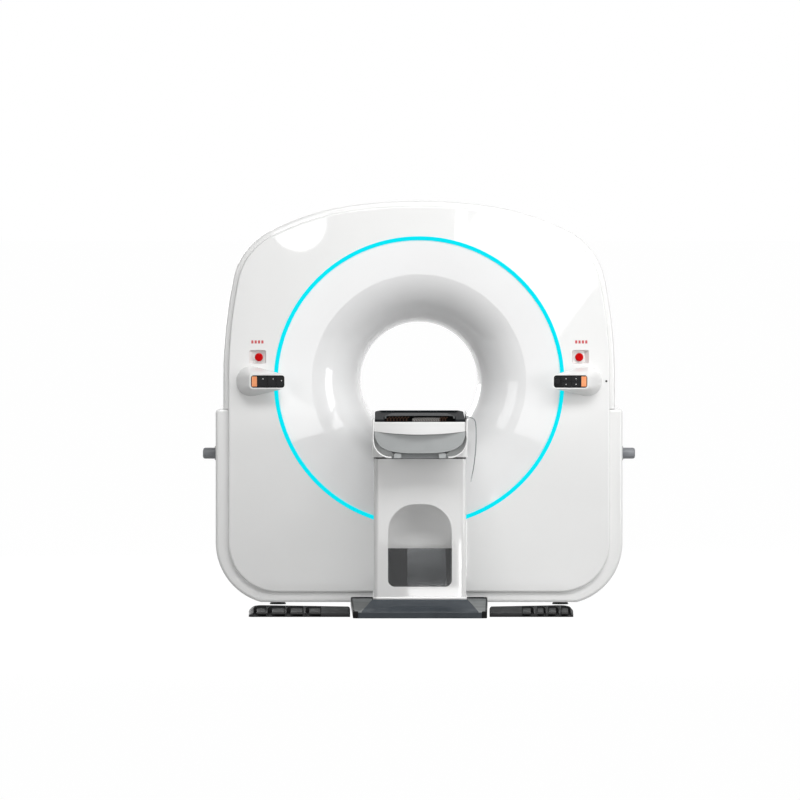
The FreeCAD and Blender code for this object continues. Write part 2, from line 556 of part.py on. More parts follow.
# ---- rotor ----------------------------------------------------------------------------------------
def rotor_drum():
    """The turning plate with its rim, hub and stiffening ribs."""
    back = ROTOR_PLATE_FRONT + ROTOR_PLATE_THICK
    hub = BEARING_BORE - BEARING_GAP
    profile = [(HUB_BORE, ROTOR_PLATE_FRONT), (ROTOR_RADIUS - ROTOR_RIM, ROTOR_PLATE_FRONT),
               (ROTOR_RADIUS - ROTOR_RIM, ROTOR_RIM_FRONT), (ROTOR_RADIUS, ROTOR_RIM_FRONT),
               (ROTOR_RADIUS, back), (hub, back), (hub, PLATE_FRONT - HUB_END_GAP),
               (HUB_BORE, PLATE_FRONT - HUB_END_GAP)]
    body = around_axis(profile)
    ribs = []
    for i in range(RIB_COUNT):
        rib = box(SLIP_OUTER + RIB_START, ROTOR_RADIUS - RIB_END, FRONT_Y + back - 1,
                  FRONT_Y + back + RIB_HEIGHT, ISO_Z - RIB_THICK / 2, ISO_Z + RIB_THICK / 2)
        rib.rotate(V(0, 0, ISO_Z), Y_AXIS, (i + 0.5) * 360.0 / RIB_COUNT)
        ribs.append(rib)
    return body.multiFuse(ribs).removeSplitter()


def slip_ring():
    start = ROTOR_PLATE_FRONT + ROTOR_PLATE_THICK
    end = start + SLIP_LENGTH
    body = ring(SLIP_INNER, SLIP_OUTER, start, end)
    pitch = (SLIP_OUTER - SLIP_INNER) / (SLIP_TRACKS + 1)
    for i in range(SLIP_TRACKS):
        middle = SLIP_INNER + (i + 1) * pitch
        body = body.cut(ring(middle - TRACK_WIDTH / 2, middle + TRACK_WIDTH / 2, end - TRACK_DEPTH, end + 1))
    return body


def xray_tube():
    """The tube housing at the top of the rotor, with its collimator below."""
    y1 = FRONT_Y + ROTOR_PLATE_FRONT
    z = ISO_Z + SOURCE_RADIUS
    body = Part.makeCylinder(TUBE_RADIUS, TUBE_LENGTH, V(0, y1 - TUBE_LENGTH, z), Y_AXIS)
    front = edges_at(body, lambda b: b.YMax < y1 - TUBE_LENGTH + 1)
    body = body.makeFillet(TUBE_EDGE, front)
    foot = box(-TUBE_FOOT_HALF, TUBE_FOOT_HALF, y1 - TUBE_FOOT_LENGTH, y1, z, z + TUBE_FOOT_HEIGHT)
    low = z - TUBE_RADIUS - COLLIMATOR_HEIGHT
    middle = y1 - TUBE_LENGTH / 2
    collimator = box(-COLLIMATOR_WIDTH / 2, COLLIMATOR_WIDTH / 2, middle - COLLIMATOR_LENGTH / 2, y1,
                     low, low + COLLIMATOR_HEIGHT + COLLIMATOR_LAP)
    return body.multiFuse([foot, collimator]).removeSplitter()


def detector():
    """A curved detector housing centred on the tube's focus."""
    z = ISO_Z + SOURCE_RADIUS
    y1 = FRONT_Y + ROTOR_PLATE_FRONT
    start = math.radians(-90 - DETECTOR_SPAN / 2)
    end = math.radians(-90 + DETECTOR_SPAN / 2)

    def at(radius, angle):
        return V(radius * math.cos(angle), y1 - DETECTOR_LENGTH, z + radius * math.sin(angle))

    inner, outer = DETECTOR_RADIUS, DETECTOR_RADIUS + DETECTOR_THICK
    middle = (start + end) / 2
    edges = [Part.Arc(at(inner, start), at(inner, middle), at(inner, end)).toShape(),
             Part.LineSegment(at(inner, end), at(outer, end)).toShape(),
             Part.Arc(at(outer, end), at(outer, middle), at(outer, start)).toShape(),
             Part.LineSegment(at(outer, start), at(inner, start)).toShape()]
    return prism(Part.Wire(edges), V(0, DETECTOR_LENGTH, 0))


def rotor_box(degrees, size, edge):
    """A rounded module bolted to the rotor's face, at an angle from the top."""
    width, height, length = size
    y1 = FRONT_Y + ROTOR_PLATE_FRONT
    z = ISO_Z + MODULE_RADIUS
    body = box(-width / 2, width / 2, y1 - length, y1, z - height / 2, z + height / 2)
    body = body.makeFillet(edge, edges_at(body, lambda b: b.YLength > length - 1))
    body.rotate(V(0, 0, ISO_Z), Y_AXIS, degrees)
    return body


def cooling_unit():
    """A module with a row of cooling fins on its front."""
    body = rotor_box(COOLER_DEGREES, COOLER_SIZE, COOLER_EDGE)
    front = FRONT_Y + ROTOR_PLATE_FRONT - COOLER_SIZE[2]
    z = ISO_Z + MODULE_RADIUS
    fins = []
    for i in range(FIN_COUNT):
        x = (i - (FIN_COUNT - 1) / 2) * FIN_PITCH
        fin = box(x - FIN_THICK / 2, x + FIN_THICK / 2, front - FIN_DEPTH, front + 1,
                  z - FIN_HEIGHT / 2, z + FIN_HEIGHT / 2)
        fin.rotate(V(0, 0, ISO_Z), Y_AXIS, COOLER_DEGREES)
        fins.append(fin)
    return body.multiFuse(fins).removeSplitter()


# ---- controls -------------------------------------------------------------------------------------
def pod(side):
    """A control pod that grows from a round root on the panel to a flat oblong face."""
    x = side * POD_ROOT_X
    w, h = POD_ROOT_WIDTH / 2, POD_ROOT_HEIGHT / 2
    root = rectangle(x - w, x + w, POD_Z - h, POD_Z + h, w * POD_ROOT_ROUND, facing(FRONT_Y))
    share = POD_WAIST_SHARE
    cx = side * (POD_ROOT_X + (POD_X - POD_ROOT_X) * share)
    w2, h2 = w + (POD_FACE_WIDTH / 2 - w) * share, h + (POD_FACE_HEIGHT / 2 - h) * share
    waist = rectangle(cx - w2, cx + w2, POD_Z - h2, POD_Z + h2, h2 * POD_WAIST_ROUND,
                      facing(FRONT_Y - POD_WAIST_DEPTH))
    cx = side * POD_X
    w3, h3 = POD_FACE_WIDTH / 2, POD_FACE_HEIGHT / 2
    near = FRONT_Y - POD_REACH
    face = rectangle(cx - w3, cx + w3, POD_Z - h3, POD_Z + h3, POD_FACE_CORNER, facing(near))
    body = Part.makeLoft([root, waist, face], True, False)
    u, v = PAD_WIDTH / 2, PAD_HEIGHT / 2
    seat = rectangle(cx - u, cx + u, POD_Z - v, POD_Z + v, PAD_CORNER, facing(near - 1))
    return body.cut(prism(seat, V(0, PAD_THICK - PAD_PROUD + 1, 0)))


PAD_FACE = -POD_REACH - PAD_PROUD


def key_fields(side):
    """Name, centre x, centre z, width and height of every key on one pad, all but the knob."""
    outer = side * (POD_X + PAD_WIDTH / 2 - PAD_BORDER - AMBER_WIDTH / 2)
    fields = [("amber_key", outer, POD_Z, AMBER_WIDTH, KEY_HEIGHT)]
    if side < 0:
        x = outer + AMBER_WIDTH / 2
        for number, width in enumerate(LEFT_KEYS, 1):
            x += KEY_SPACING
            fields.append(("key_%d" % number, x + width / 2, POD_Z, width, KEY_HEIGHT))
            x += width
        return fields
    width, height = RIGHT_KEY_WIDTH, (KEY_HEIGHT - KEY_SPACING) / 2
    number = 0
    for row in (1, -1):
        for column in (1, 0):
            number += 1
            x = outer - AMBER_WIDTH / 2 - KEY_SPACING - width / 2 - column * (width + KEY_SPACING)
            fields.append(("key_%d" % number, x, POD_Z + row * (height + KEY_SPACING) / 2, width, height))
    return fields


def knob_x():
    return POD_X - PAD_WIDTH / 2 + KNOB_RADIUS + KNOB_BORDER


def key_block(field, grow, d0, d1):
    _, x, z, width, height = field
    w, h = width / 2 + grow, height / 2 + grow
    wire = rectangle(x - w, x + w, z - h, z + h, KEY_CORNER + grow, facing(FRONT_Y + d0))
    return prism(wire, V(0, d1 - d0, 0))


def keypad(side):
    u, v = PAD_WIDTH / 2, PAD_HEIGHT / 2
    cx = side * POD_X
    body = prism(rectangle(cx - u, cx + u, POD_Z - v, POD_Z + v, PAD_CORNER, facing(FRONT_Y + PAD_FACE)),
                 V(0, PAD_THICK, 0))
    floor = PAD_FACE + KEY_THICK - KEY_PROUD + KEY_TRAVEL + KEY_FLOOR_GAP
    for field in key_fields(side):
        body = body.cut(key_block(field, KEY_GAP, PAD_FACE - 1, floor))
        hole = stud(STEM_RADIUS + RUNNING_GAP, field[1], field[2], PAD_FACE, PAD_FACE + PAD_THICK + 1)
        body = body.cut(hole)
    if side > 0:
        body = body.cut(stud(KNOB_SPINDLE + RUNNING_GAP, knob_x(), POD_Z, PAD_FACE - 1, floor))
    return body


def key(field):
    body = key_block(field, 0.0, PAD_FACE - KEY_PROUD, PAD_FACE + KEY_THICK - KEY_PROUD)
    front = edges_at(body, lambda b: b.YMax < FRONT_Y + PAD_FACE - KEY_PROUD + 0.01)
    body = body.makeFillet(KEY_EDGE, front)
    back = PAD_FACE + KEY_THICK - KEY_PROUD
    return body.fuse(stud(STEM_RADIUS, field[1], field[2], back - 1, back + STEM_REACH))


def knob():
    """A small turning knob on a short spindle, with a grip of shallow flutes."""
    base = PAD_FACE - KNOB_STANDOFF
    body = stud(KNOB_RADIUS, knob_x(), POD_Z, base - KNOB_HEIGHT, base)
    front = edges_at(body, lambda b: b.YMax < FRONT_Y + base - KNOB_HEIGHT + 0.01)
    body = body.makeFillet(KNOB_EDGE, front)
    for i in range(FLUTE_COUNT):
        angle = 2 * math.pi * i / FLUTE_COUNT
        x, z = knob_x() + (KNOB_RADIUS + 1) * math.cos(angle), POD_Z + (KNOB_RADIUS + 1) * math.sin(angle)
        body = body.cut(stud(FLUTE_RADIUS, x, z, base - KNOB_HEIGHT - 1, base - FLUTE_END))
    return body.fuse(stud(KNOB_SPINDLE, knob_x(), POD_Z, base - 1, PAD_FACE + KNOB_REACH))


def stop_button(side):
    """A mushroom head on a stem that runs through the niche's floor."""
    x = side * STOP_X
    back = NICHE_DEPTH - COLLAR_HEIGHT - STOP_TRAVEL - STOP_GAP
    front = back - STOP_HEAD
    body = stud(STOP_RADIUS, x, STOP_Z, front, back)
    rim = edges_at(body, lambda b: b.YMax < FRONT_Y + front + 0.01)
    body = body.makeFillet(STOP_EDGE, rim)
    return body.fuse(stud(STOP_STEM, x, STOP_Z, back - 1, NICHE_DEPTH + PANEL_SKIN + STOP_STEM_REACH))


def sensor():
    return stud(SENSOR_RADIUS, SENSOR_X, SENSOR_Z, -1.0, PANEL_SKIN)


def side_peg(side):
    """A round post on a lower side cover, with a rounded end and a collar."""
    root = HALF_WIDTH + BULGE
    y = FRONT_Y + PEG_DEPTH
    body = Part.makeCylinder(PEG_RADIUS, PEG_LENGTH, V(root, y, PEG_Z), X_AXIS)
    tip = edges_at(body, lambda b: b.XMin > root + PEG_LENGTH - 0.01)
    body = body.makeFillet(PEG_END, tip)
    collar = Part.makeCylinder(PEG_COLLAR, PEG_COLLAR_THICK, V(root, y, PEG_Z), X_AXIS)
    body = body.fuse(collar).removeSplitter()
    return body if side > 0 else body.mirror(V(0, 0, 0), X_AXIS)


# ---- table ----------------------------------------------------------------------------------------
COLUMN_NEAR = NEAR_Y + COLUMN_FRONT
COLUMN_FAR = COLUMN_NEAR + COLUMN_DEPTH


def column_block(grow, z0, z1, corner):
    wire = rectangle(-COLUMN_HALF - grow, COLUMN_HALF + grow, COLUMN_NEAR - grow, COLUMN_FAR + grow,
                     corner, lying(z0))
    return prism(wire, V(0, 0, z1 - z0))


def base_slab():
    """The floor plate under the whole table, a little wider at its far end."""
    far = FRONT_Y - BASE_GAP
    corners = [(-BASE_NEAR_HALF, NEAR_Y), (BASE_NEAR_HALF, NEAR_Y),
               (BASE_FAR_HALF, far), (-BASE_FAR_HALF, far)]
    slab = prism(rounded(corners, [BASE_CORNER] * 4, lying(0)), V(0, 0, BASE_THICK))
    return slab.makeFillet(BASE_EDGE, edges_at(slab, lambda b: b.ZMin > BASE_THICK - 0.01))


def table_base():
    """The floor plate, a sloped platform, the plinth inside the column, and the link to the gantry."""
    far = FRONT_Y - BASE_GAP
    slab = base_slab()
    m = PLATFORM_MARGIN
    foot = [(-BASE_NEAR_HALF + m, NEAR_Y + m), (BASE_NEAR_HALF - m, NEAR_Y + m),
            (BASE_FAR_HALF - m, far - m), (-BASE_FAR_HALF + m, far - m)]
    crest = [(-COLUMN_HALF - m, COLUMN_NEAR - m), (COLUMN_HALF + m, COLUMN_NEAR - m),
             (COLUMN_HALF + m, COLUMN_FAR + m), (-COLUMN_HALF - m, COLUMN_FAR + m)]
    rims = [rounded(foot, [BASE_CORNER - m] * 4, lying(BASE_THICK)),
            rounded(crest, [COLUMN_CORNER + m] * 4, lying(PLATFORM_TOP))]
    platform = Part.makeLoft(rims, True, True)
    plinth = column_block(-COLUMN_SKIN, PLATFORM_TOP, PLINTH_TOP, COLUMN_CORNER - COLUMN_SKIN)
    under = BODY_BOTTOM - BULGE
    link = box(-LINK_HALF, LINK_HALF, far - 40, FRONT_Y + LINK_LENGTH, under - LINK_THICK, under)
    return slab.multiFuse([platform, plinth, link]).removeSplitter()


def arch(inset, y):
    """The niche's outline: a tall opening with a domed head and rounded lower corners."""
    half, low, high = ARCH_HALF - inset, ARCH_BOTTOM + inset, ARCH_TOP - inset
    corners = [(-half, low), (half, low), (half, high), (-half, high)]
    radii = [ARCH_CORNER - inset, ARCH_CORNER - inset, ARCH_SHOULDER - inset, ARCH_SHOULDER - inset]
    return rounded(corners, radii, facing(y))


def column():
    """The pedestal's shell, open at the top, with the arched niche let into its front."""
    shell = column_block(0, COLUMN_BOTTOM, COLUMN_TOP, COLUMN_CORNER)
    inside = column_block(-COLUMN_SKIN, COLUMN_BOTTOM - 1, COLUMN_TOP + 1, COLUMN_CORNER - COLUMN_SKIN)
    shell = shell.cut(inside)
    tub = prism(arch(-ARCH_SKIN, COLUMN_NEAR + 1), V(0, ARCH_DEPTH + ARCH_SKIN - 1, 0))
    niche = prism(arch(0, COLUMN_NEAR - 1), V(0, ARCH_DEPTH + 1, 0))
    return shell.fuse(tub).cut(niche)


def pocket_panel():
    """A smoked pane across the lower part of the niche, which makes a pocket of it."""
    y = COLUMN_NEAR + POCKET_SETBACK
    pane = prism(arch(0, y), V(0, POCKET_THICK, 0))
    return pane.cut(above(POCKET_TOP))


# ---- couch ----------------------------------------------------------------------------------------
COUCH_NEAR, COUCH_FAR = NEAR_Y + COUCH_START, FRONT_Y - COUCH_END_GAP


def couch_section(inset, y0, y1, top):
    """The couch shell's U section as a block, drawn in by inset."""
    half, corner = COUCH_HALF - inset, COUCH_CORNER - inset
    low = COUCH_BOTTOM + inset
    wire = rounded([(-half, low), (half, low), (half, top), (-half, top)], [corner, corner, 0, 0], facing(y0))
    return prism(wire, V(0, y1 - y0, 0))


def couch_shell():
    """The couch's outer trough: side walls that sweep in under the hull, a slot at the near end, a skirt."""
    body = couch_section(0, COUCH_NEAR, COUCH_FAR, COUCH_RIM)
    skirt = skirt_block(SKIRT_SKIN).cut(skirt_block(0)).cut(body)
    body = body.cut(couch_section(COUCH_SKIN, COUCH_NEAR - 1, COUCH_FAR + 1, COUCH_RIM + 1))
    slot = box(-COUCH_SLOT_HALF, COUCH_SLOT_HALF, COUCH_NEAR - 1, COUCH_NEAR + COUCH_SLOT_LENGTH,
               COUCH_BOTTOM - 1, COUCH_BOTTOM + COUCH_SKIN + 1)
    return body.cut(slot).fuse(skirt).removeSplitter()


def skirt_block(grow):
    """A block around the top of the column, larger than it by the skirt's clearance and grow."""
    top, out = COUCH_BOTTOM + COUCH_CORNER, SKIRT_GAP + grow
    return column_block(out, SKIRT_BOTTOM, top, COLUMN_CORNER + out)


def lift_sleeve():
    """The telescopic sleeve inside the column, closed at the top by the plate that carries the couch."""
    outer, corner = -COLUMN_SKIN - SLEEVE_GAP, COLUMN_CORNER - COLUMN_SKIN
    top = COUCH_BOTTOM + COUCH_CORNER
    body = column_block(outer, SLEEVE_BOTTOM, top, corner)
    under = COUCH_BOTTOM - SLEEVE_HEAD
    body = body.cut(column_block(outer - SLEEVE_SKIN, SLEEVE_BOTTOM - 1, under, corner - SLEEVE_SKIN))
    couch = couch_section(0, COUCH_NEAR - 1, COUCH_FAR + 1, COUCH_RIM)
    return body.cut(couch)


def hull_block(y0, y1, top):
    """The hull's section: upright sides, round bilges and a slightly domed belly."""
    body = box(-HULL_HALF, HULL_HALF, y0, y1, HULL_BOTTOM, top)
    belly = Part.makeCylinder(HULL_BELLY, y1 - y0, V(0, y0, HULL_BOTTOM + HULL_BELLY), Y_AXIS)
    body = body.common(belly)
    bilges = edges_at(body, lambda b: b.YLength > y1 - y0 - 1 and b.ZMax < HULL_BOTTOM + 60 and b.XLength < 1)
    return body.makeFillet(HULL_CORNER, bilges)


def insert_block(y0, y1):
    """The drive housing's section as a block."""
    low, high = COUCH_BOTTOM, HULL_BOTTOM + INSERT_LAP
    corners = [(-COUCH_SLOT_HALF, low), (COUCH_SLOT_HALF, low),
               (COUCH_SLOT_HALF - INSERT_CHAMFER, high), (-COUCH_SLOT_HALF + INSERT_CHAMFER, high)]
    return prism(rounded(corners, [0, 0, 0, 0], facing(y0)), V(0, y1 - y0, 0))


def hull_fascia():
    """The moulded near end of the hull, which closes the couch shell on both sides of the drive housing."""
    y0 = COUCH_NEAR + HULL_SETBACK + FASCIA_STEP
    y1 = y0 + FASCIA_DEPTH
    body = couch_section(COUCH_SKIN + FASCIA_GAP, y0, y1, HULL_TOP).cut(insert_block(y0 - 1, y1 + 1))
    for side in (-1, 1):
        corners = [(side * u, v) for u, v in NOTCH]
        notch = prism(rounded(corners, [0, 0, 0], facing(y0 - 1)), V(0, NOTCH_DEPTH + 1, 0))
        body = body.cut(notch.cut(hull_block(y0 - 1, y1, HULL_TOP)))
    return body


def couch_hull():
    """The grey hull in the couch shell, with the flat top that the cradle's runners slide on."""
    y0, y1 = COUCH_NEAR + HULL_SETBACK, COUCH_FAR
    body = hull_block(y0, y1, HULL_TOP)
    reach = COUCH_HALF - COUCH_SKIN
    ledge = box(-reach, reach, y0, y1, HULL_TOP - LEDGE_THICK, HULL_TOP)
    return body.multiFuse([ledge, hull_fascia()]).removeSplitter()


def hull_insert():
    """The drive housing under the hull, whose near end shows in the slot of the couch shell."""
    y0, y1 = COUCH_NEAR + HULL_SETBACK / 2, COUCH_FAR
    body = insert_block(y0, y1)
    for side in (-1, 1):
        u = sorted((side * BRACKET_INNER, side * BRACKET_OUTER))
        bracket = box(u[0], u[1], y0 - BRACKET_PROUD, y0 + 1, COUCH_BOTTOM, BRACKET_TOP)
        upper = edges_at(bracket, lambda b: b.YLength > BRACKET_PROUD and b.ZMin > BRACKET_TOP - 1)
        body = body.fuse(bracket.makeFillet(BRACKET_CORNER, upper))
    body = body.cut(box(-BIG, BIG, COUCH_NEAR + COUCH_SLOT_LENGTH, BIG, 0, COUCH_BOTTOM + COUCH_SKIN))
    return body.cut(hull_block(COUCH_NEAR + HULL_SETBACK, y1 + 1, HULL_TOP)).removeSplitter()


def cradle():
    """The carbon tray: a shallow trough with a raised rim, a dished near part and a tapered head end."""
    y0 = NEAR_Y + CRADLE_START
    y1 = y0 + CRADLE_LENGTH
    section = rounded([(-CRADLE_FLAT, CRADLE_BOTTOM), (CRADLE_FLAT, CRADLE_BOTTOM),
                       (CRADLE_HALF, CRADLE_EDGE), (CRADLE_HALF, CRADLE_TOP),
                       (-CRADLE_HALF, CRADLE_TOP), (-CRADLE_HALF, CRADLE_EDGE)],
                      [CRADLE_BILGE, CRADLE_BILGE, CRADLE_KNUCKLE, CRADLE_RIM_EDGE, CRADLE_RIM_EDGE,
                       CRADLE_KNUCKLE], facing(y0))
    body = prism(section, V(0, CRADLE_LENGTH, 0))
    neck, end = y1 - CRADLE_TAPER_LENGTH, CRADLE_HALF - CRADLE_TAPER
    plan = rounded([(-CRADLE_HALF, y0 - 1), (CRADLE_HALF, y0 - 1), (CRADLE_HALF, neck),
                    (end, y1), (-end, y1), (-CRADLE_HALF, neck)],
                   [0, 0, CRADLE_WAIST, CRADLE_END_CORNER, CRADLE_END_CORNER, CRADLE_WAIST],
                   lying(CRADLE_BOTTOM - 1))
    body = body.common(prism(plan, V(0, 0, CRADLE_TOP - CRADLE_BOTTOM + 2)))
    for x in (-RUNNER_X, RUNNER_X):
        runner = box(x - RUNNER_WIDTH / 2, x + RUNNER_WIDTH / 2, y0 + RUNNER_SETBACK, neck,
                     HULL_TOP + SLIDE_GAP, CRADLE_BOTTOM + 1)
        body = body.fuse(runner)
    floor = CRADLE_TOP - TROUGH_DEPTH
    foot = TROUGH_HALF - TROUGH_SLOPE
    trough = rounded([(-TROUGH_HALF, CRADLE_TOP + TROUGH_DEPTH), (-foot, floor), (foot, floor),
                      (TROUGH_HALF, CRADLE_TOP + TROUGH_DEPTH)],
                     [0, TROUGH_CORNER, TROUGH_CORNER, 0], facing(y0 + DISH_START / 2))
    body = body.cut(prism(trough, V(0, CRADLE_LENGTH - DISH_START / 2 - TROUGH_END, 0)))
    return body.cut(dish(0, CRADLE_TOP - DISH_DEPTH, CRADLE_TOP + 1))


def dish(inset, z0, z1):
    """The long recess in the tray, which narrows in a wide curve towards its far end."""
    y0 = NEAR_Y + CRADLE_START + DISH_START + inset
    y1 = NEAR_Y + CRADLE_START + DISH_START + DISH_LENGTH - inset
    half, far, neck = DISH_HALF - inset, DISH_FAR_HALF - inset, y1 - DISH_NECK
    corners = [(-half, y0), (half, y0), (half, neck), (far, y1), (-far, y1), (-half, neck)]
    corner = DISH_CORNER - inset
    radii = [DISH_NEAR_CORNER, DISH_NEAR_CORNER, DISH_BEND, corner, corner, DISH_BEND]
    return prism(rounded(corners, radii, lying(z0)), V(0, 0, z1 - z0))


def cradle_mat():
    return dish(MAT_GAP, CRADLE_TOP - DISH_DEPTH, CRADLE_TOP - DISH_DEPTH + MAT_THICK)


def end_cap():
    """The white band across the cradle's near end, with a drooping lower edge and swept-back corners."""
    y0 = NEAR_Y
    edges = [Part.LineSegment(V(-CAP_HALF, y0, CAP_TOP), V(CAP_HALF, y0, CAP_TOP)).toShape(),
             Part.LineSegment(V(CAP_HALF, y0, CAP_TOP), V(CAP_HALF, y0, CAP_ENDS)).toShape(),
             Part.Arc(V(CAP_HALF, y0, CAP_ENDS), V(0, y0, CAP_MIDDLE), V(-CAP_HALF, y0, CAP_ENDS)).toShape(),
             Part.LineSegment(V(-CAP_HALF, y0, CAP_ENDS), V(-CAP_HALF, y0, CAP_TOP)).toShape()]
    body = prism(Part.Wire(edges), V(0, CAP_LENGTH, 0))
    front, back = y0 + CAP_BOW, y0 + CAP_LENGTH
    nose = [Part.Arc(V(-CAP_HALF, front, 0), V(0, y0, 0), V(CAP_HALF, front, 0)).toShape(),
            Part.LineSegment(V(CAP_HALF, front, 0), V(CAP_HALF, back, 0)).toShape(),
            Part.LineSegment(V(CAP_HALF, back, 0), V(-CAP_HALF, back, 0)).toShape(),
            Part.LineSegment(V(-CAP_HALF, back, 0), V(-CAP_HALF, front, 0)).toShape()]
    body = body.common(prism(Part.Wire(nose), V(0, 0, CAP_TOP + 1)))
    lip = edges_at(body, lambda b: b.ZMin > CAP_TOP - 0.01 and b.YMin < front + 1 and b.YMax < back - 1)
    return body.makeFillet(CAP_LIP, lip)


# ---- patient lead ---------------------------------------------------------------------------------
LEAD_Y = NEAR_Y + LEAD_DEPTH


def gland():
    """A small elbow on top of the right-hand wall that the lead comes out of."""
    x0 = COUCH_HALF - COUCH_SKIN
    body = box(x0, x0 + GLAND_WIDTH, LEAD_Y - GLAND_DEPTH / 2, LEAD_Y + GLAND_DEPTH / 2,
               COUCH_RIM, COUCH_RIM + GLAND_HEIGHT)
    return body.makeFillet(GLAND_CORNER, edges_at(body, lambda b: b.ZLength > GLAND_HEIGHT - 0.1))


def lead():
    """The lead as straight runs joined by tangent arcs, each as large as its two runs allow."""
    start = (COUCH_HALF - COUCH_SKIN + GLAND_WIDTH, LEAD_EXIT)
    points = [V(x, LEAD_Y, z) for x, z in [start] + LEAD_PATH]
    edges, last, radii = [], points[0], []
    for i in range(1, len(points) - 1):
        before, after = points[i - 1] - points[i], points[i + 1] - points[i]
        run = LEAD_BEND_SHARE * min(before.Length, after.Length)
        back, ahead = V(before).normalize(), V(after).normalize()
        half = back.getAngle(ahead) / 2
        radius = run * math.tan(half)
        inward = (back + ahead).normalize()
        middle = points[i] + inward * (radius / math.sin(half) - radius)
        edges.append(Part.LineSegment(last, points[i] + back * run).toShape())
        edges.append(Part.Arc(points[i] + back * run, middle, points[i] + ahead * run).toShape())
        last = points[i] + ahead * run
        radii.append(round(radius, 1))
    edges.append(Part.LineSegment(last, points[-1]).toShape())
    path = Part.Wire(edges)
    first = points[1] - points[0]
    section = Part.Wire(Part.makeCircle(LEAD_DIAMETER / 2, points[0], first))
    tube = path.makePipeShell([section], True, False)
    expected = math.pi * LEAD_DIAMETER ** 2 / 4 * path.Length
    print("lead radii", radii, "length", round(path.Length, 1))
    print("lead volume over that of a straight one", round(tube.Volume / expected, 4))
    return tube


def lead_plug():
    """The slim connector at the lead's free end."""
    end, before = LEAD_PATH[-1], LEAD_PATH[-2]
    way = V(end[0] - before[0], 0, end[1] - before[1]).normalize()
    start = V(end[0], LEAD_Y, end[1])
    grip = PLUG_LENGTH - PLUG_TIP
    body = Part.makeCylinder(PLUG_RADIUS, grip, start, way)
    return body.fuse(Part.makeCylinder(PLUG_TIP_RADIUS, PLUG_TIP, start + way * grip, way))


# ---- foot switches --------------------------------------------------------------------------------
PEDAL_Y0 = NEAR_Y + PEDAL_SETBACK
PEDAL_Y1 = PEDAL_Y0 + PEDAL_DEPTH
PIVOT_Y = PEDAL_Y1 - PIVOT_SETBACK


def pivot_pin(x0, x1, grow):
    """The pin at a pad's back edge, whose ends sit in the housing."""
    reach = PEDAL_SIDE_GAP + PIVOT_SEAT + grow
    length = x1 - x0 + 2 * reach
    return Part.makeCylinder(PIVOT_RADIUS + grow, length, V(x0 - reach, PIVOT_Y, PIVOT_Z), X_AXIS)


def pedal_housing(side, length, pads):
    """A low wedge with a well for each pad, a rounded outer end and a tongue to the table's base."""
    start = BASE_NEAR_HALF + PEDAL_BASE_GAP
    shelf, end = PEDAL_Y1 - PEDAL_SHELF, start + length
    wedge = rounded([(PEDAL_Y0, 0), (PEDAL_Y1, 0), (PEDAL_Y1, PEDAL_BACK), (shelf, PEDAL_BACK),
                     (PEDAL_Y0, PEDAL_NOSE)], [0, 0, PEDAL_NOSE_EDGE, PEDAL_BACK_EDGE, PEDAL_NOSE_EDGE],
                    sideways(start))
    body = prism(wedge, V(length, 0, 0))
    plan = rounded([(start, PEDAL_Y0), (end, PEDAL_Y0), (end, PEDAL_Y1), (start, PEDAL_Y1)],
                   [PEDAL_INNER_CORNER, PEDAL_END_ROUND, PEDAL_END_ROUND, PEDAL_INNER_CORNER], lying(-1))
    body = body.common(prism(plan, V(0, 0, PEDAL_BACK + 2)))
    for x0, x1 in pads:
        low = [(PEDAL_Y0 - 1, WELL_NOSE), (shelf, WELL_BACK),
               (shelf, PEDAL_BACK + 1), (PEDAL_Y0 - 1, PEDAL_BACK + 1)]
        floor = rounded(low, [0, 0, 0, 0], sideways(x0 - PEDAL_SIDE_GAP))
        well = prism(floor, V(x1 - x0 + 2 * PEDAL_SIDE_GAP, 0, 0))
        body = body.cut(well).cut(pivot_pin(x0, x1, RUNNING_GAP))
    tongue = box(BASE_NEAR_HALF - TONGUE_LAP, start + TONGUE_REACH, PEDAL_Y1 - TONGUE_START,
                 PEDAL_Y1 - TONGUE_END, 0, TONGUE_THICK)
    body = body.fuse(tongue).cut(base_slab()).removeSplitter()
    return body if side > 0 else body.mirror(V(0, 0, 0), X_AXIS)


def pedal(side, x0, x1):
    """One pad: a domed plate on a pivot at its back, held clear of the well's floor."""
    nose, back = PEDAL_Y0 + PAD_SETBACK, PEDAL_Y1 - PEDAL_SHELF - PAD_BACK_GAP
    side_view = [(nose, PAD_LOW), (back, PAD_BACK_LOW), (back, PAD_BACK_TOP), (nose + PAD_KNEE_RUN, PAD_KNEE),
                 (nose, PAD_NOSE)]
    section = rounded(side_view, [PAD_EDGE, PAD_BACK_EDGE, PAD_BACK_EDGE, PAD_EDGE, PAD_EDGE], sideways(x0))
    body = prism(section, V(x1 - x0, 0, 0))
    body = body.fuse(pivot_pin(x0, x1, 0.0))
    return body if side > 0 else body.mirror(V(0, 0, 0), X_AXIS)


